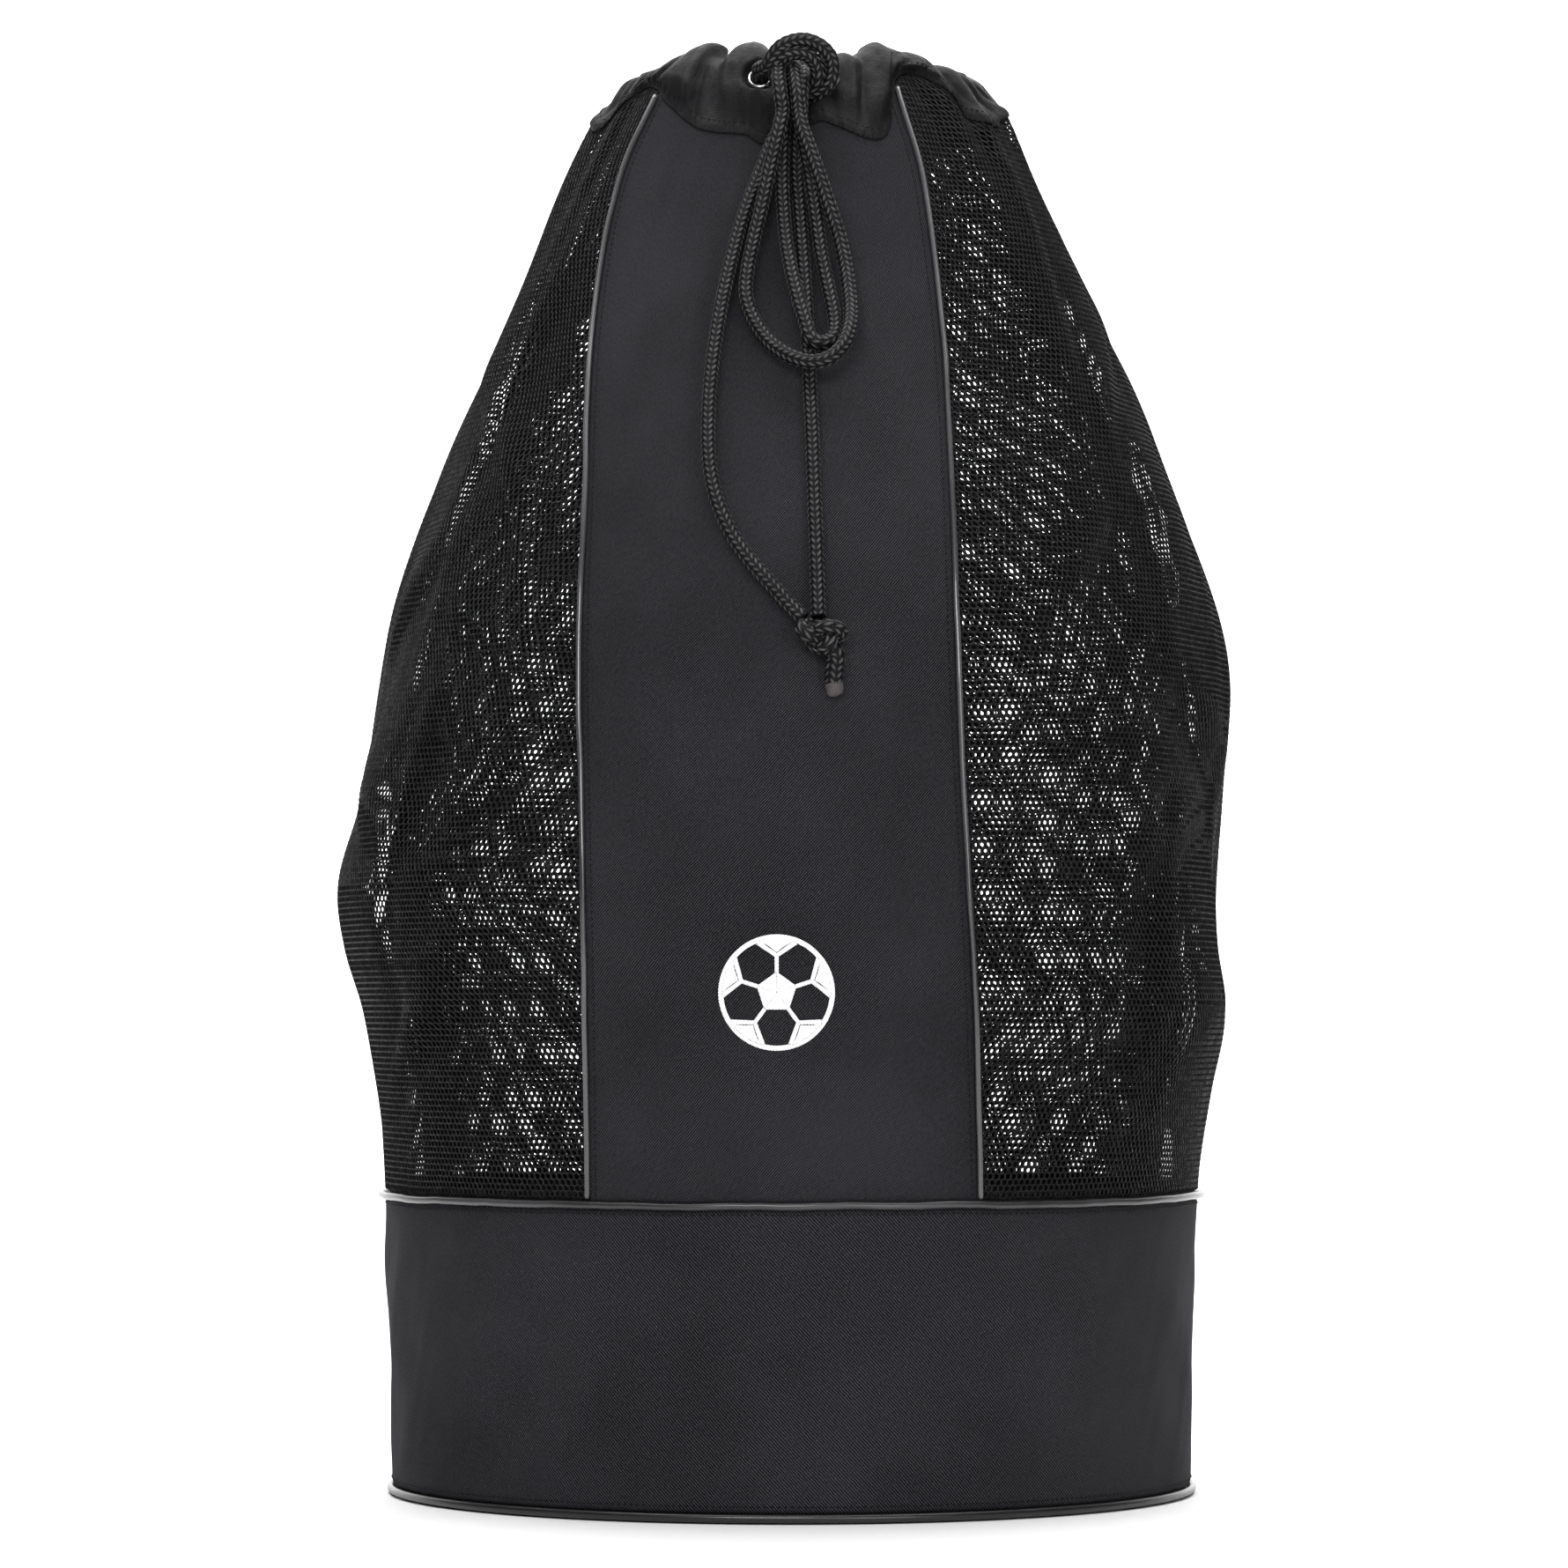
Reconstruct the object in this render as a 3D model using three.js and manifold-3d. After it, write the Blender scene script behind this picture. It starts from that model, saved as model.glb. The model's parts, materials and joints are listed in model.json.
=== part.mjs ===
// A drawcord ball bag: a round reinforced base band, two solid woven panels and two net panels above it,
// a gathered casing round the mouth, and one braided cord that runs through the casing, out of two
// eyelets and into a slip knot with two loops and two tails.
// Millimetres. +Z is up, the front faces -Y, and the origin is the centre of the base on the floor.
import * as THREE from "three";
import { mergeVertices } from "three/addons/utils/BufferGeometryUtils.js";
import Module from "manifold-3d";

const wasm = await Module();
wasm.setup();

// ---- Driving dimensions ------------------------------------------------------------------------

// Half-widths of the filled bag to its left and right at each height. Two balls push the left side out
// at 380 and the right side at 300 and 500.
const PROFILE = [
  { z: 0, left: 250, right: 250 },
  { z: 183, left: 255, right: 255 },
  { z: 250, left: 260, right: 263 },
  { z: 300, left: 267, right: 275 },
  { z: 340, left: 279, right: 271 },
  { z: 380, left: 285, right: 269 },
  { z: 430, left: 274, right: 270 },
  { z: 500, left: 260, right: 274 },
  { z: 560, left: 247, right: 264 },
  { z: 640, left: 219, right: 237 },
  { z: 740, left: 178, right: 194 },
  { z: 830, left: 138, right: 152 },
  { z: 885, left: 105, right: 120 },
  { z: 903, left: 84, right: 98 },
];
const FLATTENED_FROM = 560; // above this height the bag is a little flatter from front to back
const FLATTENED_BY = 0.14; // at its neck
const NECK_HEIGHT = 885;

// Where the seams between the solid panels and the nets run, as distances from the middle of the bag.
const FRONT_SEAMS = [
  { z: 183, left: 120, right: 111 },
  { z: 300, left: 121, right: 107 },
  { z: 400, left: 123, right: 102 },
  { z: 510, left: 125, right: 97 },
  { z: 600, left: 123, right: 95 },
  { z: 700, left: 121, right: 91 },
  { z: 770, left: 114, right: 85 },
  { z: 820, left: 103, right: 78 },
  { z: 870, left: 82, right: 64 },
];

const FABRIC = 1.6; // thickness of the woven panels and nets with their seams
const BAND_FABRIC = 2.4; // the base band is two layers
const BAND_BOTTOM = 5.9;
const BAND_MIDDLE = 95;
const BAND_TOP = 184;
const PANEL_BOTTOM = 187.5;
const BASE_RADIUS = 247;
const BASE_THICKNESS = 2.2;
const BASE_PIPING_RADIUS = 2.6;
const BASE_BEAD_HEIGHT = 3;
const RIM_PIPING_RADIUS = 2.3;
const BEAD_GAP = 0.6;
const SEAM_PIPING_RADIUS = 1.6;
const PIPING_STANDOFF = 1.3; // the beads stand off the flat facets of the panels
const BINDING_WIDTH = 11;
const RIM_BINDING_HALF = 8;
const BINDING_THICKNESS = 1;
const BINDING_GAP = 1.2; // the tapes stand off the flat facets too
const BAND_BINDING_GAP = 0.5;
const SEAM_LINE = (BAND_TOP + PANEL_BOTTOM) / 2;
const LAP = 7; // how far a panel reaches up into the casing
const BELOW_HEM = 4; // where the seams and tapes stop
const ABOVE_BEAD = 3; // where the upright beads start over the base's rim bead
const SEAM_TOP = 855; // about the height at which the seams meet the casing's hem

const RIM = 901; // top of the casing
const FOLD_HEIGHT = RIM - 2;
const RIM_WAVE = 2.5; // its gathers
const GATHERS = 11;
const CASING_WALL = 1.5;
const CASING_CLEARANCE = 0.6;
const CASING_OUTSIDE = CASING_CLEARANCE + CASING_WALL;
const CHANNEL_DEPTH = 18; // from the casing's outer layer to its inner one, where the cord runs
const INNER_LEG = 2.4; // the casing's inner layer lies this far inside the panels at the hem
const LAP_CLEARANCE = 0.6; // above the panels' top edge
const SHOULDER = 4.5; // from the top of the lap to where the channel has its full depth
const FOLD_EDGE = 3; // the rounding of the fold at the rim
const CHANNEL_SHARE = 0.42; // how far up the channel the cord runs

const CORD_RADIUS = 4.5;
const EYELET = { bore: 5.7, barrel: 6.4, flange: 8.3, crown: 1.9, depth: 3.2 };
const EYELET_FIT = 0.3;

const KNOT = { x: 2.5, z: 873, radius: 22, half: 13, standoff: 24 };
const SWING_TILT = 24; // degrees that the front leans back; the knot turns square to it
const END_KNOT = { x: 17, z: 519, across: 16.5, tall: 10.5, deep: 11, standoff: 13 };
const STUB = { x: 25.5, top: 508.2, bottom: 492.5, radius: 5.5, standoff: 9.5 };
const TIP_LENGTH = 8;

const BADGE = { x: -9, z: 311, radius: 34, line: 3, thickness: 0.4, standoff: 0.6 };
const BADGE_PENTAGON = 0.36 * BADGE.radius; // from the middle to its corners
const BADGE_SEAM_END = 0.66 * BADGE.radius; // where the short seams fork

const AROUND = 56; // facets round the bag
const PANEL_ROWS = 17;
const GAP = 0.3;

// ---- The free cord's routes --------------------------------------------------------------------
// Each point is [distance across, height, how far the cord's centre stands off the front panel].

const TAIL_LEFT = [
  [-5, 847, 10], [-8, 838, 9.8], [-13, 827, 9.2], [-20, 807, 9], [-28, 785, 10], [-33.5, 765, 10.5],
  [-38, 745, 10.8], [-42, 725, 11.4], [-45, 705, 11.5], [-47.5, 685, 11.5], [-49, 665, 11.5],
  [-49.5, 645, 11.5], [-49, 628, 11.5], [-46.5, 610, 11.1], [-42, 595, 10.5], [-35, 580, 9.3],
  [-25.5, 566, 8.2], [-14.5, 553, 8], [-4, 541, 9], [6.5, 529.8, 11],
];
const TAIL_RIGHT = [
  [4.7, 847, 10], [4, 838, 9.8], [3.5, 827, 8.8], [3.5, 807, 7], [5, 785, 7], [6.5, 762, 7], [8, 738, 7],
  [9.3, 715, 7], [10, 692, 7], [11, 668, 7], [12, 645, 7], [12.8, 620, 7], [13.6, 596, 7],
  [14.4, 572, 8], [15, 550, 9.5], [15.5, 530.9, 12],
];
const LOOP_LARGE = [
  [-5.5, 847, 31.8], [-7, 838, 31.2], [-9.5, 827, 28.8], [-14, 807, 22.5], [-18.5, 785, 16.5],
  [-23.5, 763, 12], [-26.8, 745, 10.5], [-27.5, 730, 10.5], [-23.5, 716, 10.5], [-16.5, 704, 11.5],
  [-7.5, 695, 14], [2.5, 689, 17.5], [12.5, 686.5, 20.5], [22.5, 689, 22.8], [30.3, 697, 22.8],
  [34.3, 708, 20.5], [35.3, 720, 16.5], [34.3, 735, 13.5], [32, 752, 12.5], [28.5, 769, 14.5],
  [23.5, 785, 19], [16.5, 807, 25.5], [9.5, 827, 30.2], [6, 838, 31.7], [4.5, 847, 32],
];
const LOOP_SMALL = [
  [-4, 847, 21], [-4.5, 838, 20.4], [-5.2, 827, 18.2], [-5.8, 807, 14.7], [-5, 785, 13],
  [-3, 762, 14.5], [0.5, 741, 17], [4.5, 724, 18.4], [8.8, 709, 18.6], [10.7, 702.8, 18.6],
  [15, 699.3, 18.2], [20.3, 699.3, 17.2], [24.6, 702.8, 15.5], [26, 708.5, 13.7], [25.2, 719, 11.6],
  [22, 736, 10.5], [18, 757, 10.5], [15.2, 780, 12], [11.8, 805, 15.5], [7.8, 827, 19.4],
  [6, 838, 20.9], [5.6, 847, 21.2],
];

// ---- Surface of the bag ------------------------------------------------------------------------

// A smooth curve through a table's values of one column.
function along(table, z, column) {
  const last = table.length - 1;
  if (z <= table[0].z) return table[0][column];
  if (z >= table[last].z) return table[last][column];
  const i = table.findIndex((row) => row.z > z) - 1;
  const slope = (k) => {
    const a = table[Math.max(k - 1, 0)];
    const b = table[Math.min(k + 1, last)];
    return (b[column] - a[column]) / (b.z - a.z);
  };
  const step = table[i + 1].z - table[i].z;
  const t = (z - table[i].z) / step;
  const bend = slope(i) * t * (1 - t) ** 2 - slope(i + 1) * t ** 2 * (1 - t);
  const ease = t * t * (3 - 2 * t);
  return table[i][column] * (1 - ease) + table[i + 1][column] * ease + bend * step;
}

function halfWidth(z, side) {
  return along(PROFILE, z, side < 0 ? "left" : "right");
}

function halfDepth(z) {
  const t = THREE.MathUtils.smoothstep(z, FLATTENED_FROM, NECK_HEIGHT);
  return ((halfWidth(z, -1) + halfWidth(z, 1)) / 2) * (1 - FLATTENED_BY * t);
}

// The point at this angle and height, off outside the bag's outer face. Angle 0 is the front, and it
// grows to the right.
function surface(angle, z, off = 0) {
  const across = (halfWidth(z, Math.sin(angle)) + off) * Math.sin(angle);
  return new THREE.Vector3(across, -(halfDepth(z) + off) * Math.cos(angle), z);
}

function angleAt(x, z) {
  return Math.asin(x / halfWidth(z, x));
}

// A point in front of the front panel, off it by this much.
function overPanel([x, z, off]) {
  return surface(angleAt(x, z), z).setX(x).add(new THREE.Vector3(0, -off, 0));
}

// The seam angles: front left, front right, back right and back left, in turning order.
function seamAngle(name, z) {
  const left = -Math.asin(along(FRONT_SEAMS, z, "left") / halfWidth(z, -1));
  const right = Math.asin(along(FRONT_SEAMS, z, "right") / halfWidth(z, 1));
  return {
    front_left: left,
    front_right: right,
    back_right: Math.PI - right,
    back_left: Math.PI - left,
    front_left_again: left + 2 * Math.PI,
  }[name];
}

// Height of the casing's lower hem, which dips at the front and the back.
function hemHeight(angle) {
  return 852 - 16 * Math.cos(2 * angle);
}

function rimHeight(angle) {
  return RIM + RIM_WAVE * Math.cos(GATHERS * angle);
}

// ---- Solids ------------------------------------------------------------------------------------

function indexed(points, faces) {
  const geometry = new THREE.BufferGeometry().setFromPoints(points);
  geometry.setIndex(faces);
  geometry.computeVertexNormals();
  return geometry;
}

// A curved sheet with a thickness. at(u, v, outer) gives its points; u and v run over lists of shares.
function sheet(at, us, vs) {
  const points = [];
  const faces = [];
  const columns = us.length;
  const id = (i, j, outer) => (j * columns + i) * 2 + outer;
  const quad = (a, b, c, d) => faces.push(a, b, c, a, c, d);
  for (const v of vs) for (const u of us) points.push(at(u, v, 0), at(u, v, 1));
  for (let j = 0; j < vs.length - 1; j++)
    for (let i = 0; i < columns - 1; i++) {
      quad(id(i, j, 1), id(i + 1, j, 1), id(i + 1, j + 1, 1), id(i, j + 1, 1));
      quad(id(i, j, 0), id(i, j + 1, 0), id(i + 1, j + 1, 0), id(i + 1, j, 0));
    }
  for (let i = 0; i < columns - 1; i++) {
    const j = vs.length - 1;
    quad(id(i, 0, 0), id(i + 1, 0, 0), id(i + 1, 0, 1), id(i, 0, 1));
    quad(id(i, j, 1), id(i + 1, j, 1), id(i + 1, j, 0), id(i, j, 0));
  }
  for (let j = 0; j < vs.length - 1; j++) {
    const i = columns - 1;
    quad(id(0, j, 0), id(0, j, 1), id(0, j + 1, 1), id(0, j + 1, 0));
    quad(id(i, j, 1), id(i, j, 0), id(i, j + 1, 0), id(i, j + 1, 1));
  }
  return indexed(points, faces);
}

// A closed hoop round the bag. section(angle) gives its outline's points, anticlockwise as seen with
// the outside of the bag to the right.
function hoop(section, count = AROUND) {
  const rings = Array.from({ length: count }, (_, i) => section((2 * Math.PI * i) / count));
  const size = rings[0].length;
  const faces = [];
  rings.forEach((ring, i) => {
    const next = (i + 1) % count;
    ring.forEach((_, j) => {
      const k = (j + 1) % size;
      const [a, b] = [i * size + j, next * size + j];
      const [c, d] = [next * size + k, i * size + k];
      faces.push(a, b, c, a, c, d);
    });
  });
  return indexed(rings.flat(), faces);
}

function shares(count) {
  return Array.from({ length: count + 1 }, (_, i) => i / count);
}

function circleShape(radius, sides) {
  const points = shares(sides).slice(0, sides).map((t) => {
    const turn = 2 * Math.PI * t;
    return new THREE.Vector2(radius * Math.cos(turn), radius * Math.sin(turn));
  });
  return new THREE.Shape(points);
}

function tube(points, radius, steps, sides = 8) {
  const extrudePath = new THREE.CatmullRomCurve3(points, false, "centripetal");
  return new THREE.ExtrudeGeometry(circleShape(radius, sides), { steps, extrudePath });
}

function solidOf(geometry) {
  const bare = geometry.clone();
  bare.deleteAttribute("normal");
  bare.deleteAttribute("uv");
  const merged = mergeVertices(bare, 1e-4);
  return new wasm.Manifold(
    new wasm.Mesh({
      numProp: 3,
      vertProperties: merged.attributes.position.array,
      triVerts: new Uint32Array(merged.index.array),
    }),
  );
}

function cutBy(geometry, cutters) {
  const left = cutters.reduce((body, cutter) => body.subtract(solidOf(cutter)), solidOf(geometry));
  const { vertProperties, triVerts } = left.getMesh();
  const cut = new THREE.BufferGeometry();
  cut.setAttribute("position", new THREE.BufferAttribute(vertProperties, 3));
  cut.setIndex(new THREE.BufferAttribute(triVerts, 1));
  cut.computeVertexNormals();
  return cut;
}

// ---- Materials and the group -------------------------------------------------------------------

const finish = (color, roughness, metalness = 0) =>
  new THREE.MeshStandardMaterial({ color, roughness, metalness });
const WOVEN = finish(0x222225, 0.85);
const NET = finish(0x1b1b1d, 0.8);
const CASING = finish(0x1d1d20, 0.5);
const PIPING = finish(0x9a9ca0, 0.35);
const DARK_PIPING = finish(0x17171a, 0.3);
const BINDING = finish(0x141416, 0.8);
const CORD = finish(0x1a1a1c, 0.7);
const NICKEL = finish(0xc9cbce, 0.25, 1);
const WHITE_PRINT = finish(0xf2f2f2, 0.6);

const bag = new THREE.Group();
const knotGroup = new THREE.Group();
const tails = new THREE.Group();
const loops = new THREE.Group();
bag.add(knotGroup);
knotGroup.add(tails);
tails.add(loops);

function add(name, geometry, material, group = bag) {
  const mesh = new THREE.Mesh(geometry, material);
  mesh.name = name;
  group.add(mesh);
  return mesh;
}

// ---- Base --------------------------------------------------------------------------------------

function basePanel() {
  const outline = [
    new THREE.Vector2(0, 0),
    new THREE.Vector2(BASE_RADIUS, 0),
    new THREE.Vector2(BASE_RADIUS, BASE_THICKNESS),
    new THREE.Vector2(0, BASE_THICKNESS),
  ];
  return new THREE.LatheGeometry(outline, AROUND).rotateX(Math.PI / 2);
}

function upright(inside, outside, heights) {
  return (angle) => [
    ...heights.map((z) => surface(angle, z, outside)),
    ...[...heights].reverse().map((z) => surface(angle, z, inside)),
  ];
}

function bead(z, off, radius, sides = 6) {
  return (angle) =>
    shares(sides).slice(0, sides).map((t) => {
      const turn = 2 * Math.PI * t;
      return surface(angle, z, off + radius * Math.cos(turn)).setZ(z + radius * Math.sin(turn));
    });
}

function bindingHoop(low, high) {
  const outside = -BAND_FABRIC - BAND_BINDING_GAP;
  return hoop(upright(outside - BINDING_THICKNESS, outside, [low, high]));
}

add("base_panel", basePanel(), WOVEN);
add("base_band", hoop(upright(-BAND_FABRIC, 0, [BAND_BOTTOM, BAND_MIDDLE, BAND_TOP])), WOVEN);
add("base_bottom_piping", hoop(bead(BASE_BEAD_HEIGHT, BEAD_GAP, BASE_PIPING_RADIUS)), DARK_PIPING);
add("base_bottom_binding", bindingHoop(BASE_THICKNESS + BEAD_GAP, BASE_THICKNESS + BINDING_WIDTH), BINDING);
add("base_rim_piping", hoop(bead(SEAM_LINE, RIM_PIPING_RADIUS + BEAD_GAP, RIM_PIPING_RADIUS)), PIPING);
add("base_rim_binding", bindingHoop(SEAM_LINE - RIM_BINDING_HALF, SEAM_LINE + RIM_BINDING_HALF), BINDING);

// ---- Panels, nets and their seams --------------------------------------------------------------

// A panel between two seams, from the base band up into the casing.
function panel(from, to, columns, rows) {
  const clear = (z) => GAP / halfWidth(z, 1);
  const at = (u, v, outer) => {
    const middle = THREE.MathUtils.lerp(seamAngle(from, SEAM_TOP), seamAngle(to, SEAM_TOP), u);
    const hem = hemHeight(middle);
    const z = v > 1 ? hem + LAP : THREE.MathUtils.lerp(PANEL_BOTTOM, hem - BELOW_HEM, v);
    const angle = THREE.MathUtils.lerp(seamAngle(from, z) + clear(z), seamAngle(to, z) - clear(z), u);
    return surface(angle, z, outer ? 0 : -FABRIC);
  };
  return sheet(at, shares(columns), [...shares(rows), 2]);
}

function seamPiping(name) {
  const off = SEAM_PIPING_RADIUS + PIPING_STANDOFF;
  const top = hemHeight(seamAngle(name, SEAM_TOP)) - BELOW_HEM / 2;
  const points = shares(16).map((t) => {
    const z = THREE.MathUtils.lerp(PANEL_BOTTOM + ABOVE_BEAD, top, t);
    return surface(seamAngle(name, z), z, off);
  });
  return tube(points, SEAM_PIPING_RADIUS, 20, 6);
}

function seamBinding(name) {
  const top = hemHeight(seamAngle(name, SEAM_TOP)) - BELOW_HEM;
  const at = (u, v, outer) => {
    const z = THREE.MathUtils.lerp(SEAM_LINE + RIM_BINDING_HALF + 1, top, v);
    const spread = ((u - 0.5) * BINDING_WIDTH) / halfDepth(z);
    const depth = FABRIC + BINDING_GAP + (outer ? 0 : BINDING_THICKNESS);
    return surface(seamAngle(name, z) + spread, z, -depth);
  };
  return sheet(at, shares(1), shares(14));
}

add("front_panel", panel("front_left", "front_right", 8, PANEL_ROWS), WOVEN);
add("back_panel", panel("back_right", "back_left", 8, PANEL_ROWS), WOVEN);
add("right_net", panel("front_right", "back_right", 14, PANEL_ROWS), NET);
add("left_net", panel("back_left", "front_left_again", 14, PANEL_ROWS), NET);
for (const name of ["front_left", "front_right", "back_right", "back_left"]) {
  add(`${name}_piping`, seamPiping(name), PIPING);
  add(`${name}_binding`, seamBinding(name), BINDING);
}

// ---- Casing, eyelets and the cord inside it ----------------------------------------------------

// The heights of the casing section's corners: its hem, the top of its lap over the panels, the shoulder
// where its inner layer stands off for the cord, and two more below the fold.
function casingLevels(angle) {
  const [hem, rim] = [hemHeight(angle), rimHeight(angle)];
  const shoulder = hem + LAP + SHOULDER;
  const upper = [1 / 3, 2 / 3].map((t) => THREE.MathUtils.lerp(shoulder, rim, t));
  return [hem, hem + LAP + LAP_CLEARANCE, shoulder, ...upper];
}

// The casing's section: up the outside of the outer layer, over the fold, down the inner layer and back
// round the inside of the channel.
function casingSection(angle) {
  const rim = rimHeight(angle);
  const levels = casingLevels(angle);
  const depths = levels.map((_, i) => (i < 2 ? INNER_LEG : CHANNEL_DEPTH));
  const outerLeg = (off) => levels.map((z) => surface(angle, z, off));
  const innerLeg = (off) => levels.map((z, i) => surface(angle, z, -depths[i] - off));
  const fold = (z, inside, outside) => [
    surface(angle, FOLD_HEIGHT, outside - 1).setZ(z - FOLD_EDGE),
    surface(angle, FOLD_HEIGHT, (outside + inside) / 2).setZ(z),
    surface(angle, FOLD_HEIGHT, inside).setZ(z - FOLD_EDGE),
  ];
  return [
    ...outerLeg(CASING_OUTSIDE),
    ...fold(rim, -CHANNEL_DEPTH - CASING_WALL, CASING_OUTSIDE),
    ...innerLeg(CASING_WALL).reverse(),
    ...innerLeg(0),
    ...fold(rim - CASING_WALL, -CHANNEL_DEPTH, CASING_CLEARANCE).reverse(),
    ...outerLeg(CASING_CLEARANCE).reverse(),
  ];
}

// An eyelet's middle, on the flat facet of the casing that it is set in, and the way that it faces.
function eyeletPlace(side) {
  const [near, far] = [1, 2].map((k) => (side * k * 2 * Math.PI) / AROUND);
  const corner = (angle, level) => surface(angle, casingLevels(angle)[level], CASING_OUTSIDE);
  const corners = [corner(near, 3), corner(far, 3), corner(far, 4), corner(near, 4)];
  const at = corners.reduce((sum, c) => sum.add(c), new THREE.Vector3()).divideScalar(4);
  const across = corners[1].clone().sub(corners[0]).multiplyScalar(side);
  const up = corners[3].clone().sub(corners[0]);
  return { at, normal: across.cross(up).normalize() };
}

// Turns a shape whose axis is +Y to face out of an eyelet's place.
function placeOut(geometry, place) {
  const turn = new THREE.Quaternion().setFromUnitVectors(new THREE.Vector3(0, 1, 0), place.normal);
  return geometry.applyQuaternion(turn).translate(place.at.x, place.at.y, place.at.z);
}

function ringOf(profile, sides = 20) {
  const points = [...profile, profile[0]].map(([r, h]) => new THREE.Vector2(r, h));
  return new THREE.LatheGeometry(points, sides);
}

function eyelet(place) {
  const { bore, barrel, flange, crown, depth } = EYELET;
  const profile = [
    [bore, -depth],
    [barrel, -depth],
    [barrel, GAP],
    [flange - 0.2, GAP],
    [flange, 0.8],
    [flange - 0.7, crown - 0.3],
    [flange - 1.6, crown],
    [bore + 0.5, crown - 0.3],
    [bore, crown - 0.9],
  ];
  return placeOut(ringOf(profile), place);
}

function eyeletWasher(place) {
  const hole = EYELET.barrel + EYELET_FIT;
  const top = -CASING_WALL - 0.6;
  const profile = [
    [hole, top - 0.8],
    [EYELET.flange, top - 0.8],
    [EYELET.flange, top],
    [hole, top],
  ];
  return placeOut(ringOf(profile), place);
}

function eyeletHole(place) {
  const radius = EYELET.barrel + EYELET_FIT;
  return placeOut(new THREE.CylinderGeometry(radius, radius, 9, 24), place);
}

// Height of the cord inside the casing.
function channelHeight(angle) {
  return THREE.MathUtils.lerp(casingLevels(angle)[2], RIM, CHANNEL_SHARE);
}

// The cord in the casing, from outside the left eyelet round the back to outside the right one. It runs
// straight through each eyelet, at these heights above the eyelet's middle, and then bends into the channel.
const THROUGH_EYELET = [4.2, 1, -2.2, -5.2];
const CHANNEL_FROM = 0.375; // angle either side of the front at which the cord lies in the channel
const CHANNEL_STEP = 0.16;
function channelCord(left, right) {
  const round = [];
  for (let turn = -CHANNEL_FROM; turn > -2 * Math.PI + CHANNEL_FROM; turn -= CHANNEL_STEP) {
    round.push(surface(turn, channelHeight(turn), -CHANNEL_DEPTH / 2));
  }
  const leave = (place) =>
    THROUGH_EYELET.map((h) => place.at.clone().addScaledVector(place.normal, h));
  return tube([...leave(left), ...round, ...leave(right).reverse()], CORD_RADIUS, 76, 8);
}

const leftEyelet = eyeletPlace(-1);
const rightEyelet = eyeletPlace(1);
add("casing", cutBy(hoop(casingSection), [eyeletHole(leftEyelet), eyeletHole(rightEyelet)]), CASING);
add("left_eyelet", eyelet(leftEyelet), NICKEL);
add("right_eyelet", eyelet(rightEyelet), NICKEL);
add("left_eyelet_washer", eyeletWasher(leftEyelet), NICKEL);
add("right_eyelet_washer", eyeletWasher(rightEyelet), NICKEL);
add("casing_cord", channelCord(leftEyelet, rightEyelet), CORD);

// ---- Printed badge -----------------------------------------------------------------------------

// A plain football sign: a ring, a middle pentagon, five short seams and five marks on the ring.
function badge() {
  const { radius, line } = BADGE;
  const polar = (r, turn) => new THREE.Vector2(-r * Math.sin(turn), r * Math.cos(turn));
  const ring = Array.from({ length: 60 }, (_, i) => polar(radius, (2 * Math.PI * i) / 60));
  const shape = new THREE.Shape(ring);
  const fifth = (2 * Math.PI) / 5;
  for (let k = 0; k < 5; k++) {
    const [from, to] = [k * fifth, (k + 1) * fifth];
    const edge = (turn, r, away) => {
      const point = polar(r, turn);
      const side = polar(away, turn + Math.PI / 2);
      return point.add(side);
    };
    const reach = [0.2, 0.35, 0.5, 0.65, 0.8].map((t) => polar(radius - line, from + fifth * t));
    shape.holes.push(
      new THREE.Path([
        edge(from, BADGE_PENTAGON, line / 2),
        edge(from, BADGE_SEAM_END, line / 2),
        ...reach,
        edge(to, BADGE_SEAM_END, -line / 2),
        edge(to, BADGE_PENTAGON, -line / 2),
      ]),
    );
  }
  const flat = new THREE.ExtrudeGeometry(shape, { depth: BADGE.thickness, bevelEnabled: false });
  const spots = flat.attributes.position;
  for (let i = 0; i < spots.count; i++) {
    const lift = BADGE.standoff + spots.getZ(i);
    const spot = overPanel([BADGE.x + spots.getX(i), BADGE.z + spots.getY(i), lift]);
    spots.setXYZ(i, spot.x, spot.y, spot.z);
  }
  return flat;
}

add("badge_print", badge(), WHITE_PRINT);

// ---- Knots, loops and tails --------------------------------------------------------------------

function ball(across, deep, tall, x, y, z) {
  return new THREE.SphereGeometry(1, 16, 10).scale(across, deep, tall).translate(x, y, z);
}

// The slip knot is round about the axis on which it can turn, square to the front's slope.
function slipKnot() {
  const { y } = overPanel([KNOT.x, KNOT.z, KNOT.standoff]);
  const outline = shares(8).map((t) => {
    const turn = Math.PI * (t - 0.5);
    return new THREE.Vector2(KNOT.radius * Math.cos(turn), KNOT.half * Math.sin(turn));
  });
  const tilt = THREE.MathUtils.degToRad(-SWING_TILT);
  return new THREE.LatheGeometry(outline, 20).rotateX(tilt).translate(KNOT.x, y, KNOT.z);
}

function endKnot() {
  const { across, deep, tall, x, z, standoff } = END_KNOT;
  return ball(across, deep, tall, x, overPanel([x, z, standoff]).y, z);
}

function sealedTip() {
  const { x, top, bottom, radius, standoff } = STUB;
  const outline = [
    [0, -TIP_LENGTH], [radius * 0.5, -TIP_LENGTH], [radius * 0.8, -TIP_LENGTH + 1.2],
    [radius, -TIP_LENGTH * 0.5], [radius, 0], [0, 0],
  ].map(([r, h]) => new THREE.Vector2(r, h));
  const at = overPanel([x, top, standoff]);
  return new THREE.LatheGeometry(outline, 16).rotateX(Math.PI / 2).translate(x, at.y, bottom - GAP);
}

function endStub() {
  const { x, top, bottom, radius, standoff } = STUB;
  const start = overPanel([x, top, standoff]);
  return tube([start, start.clone().setZ(bottom)], radius, 2, 12);
}

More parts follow.
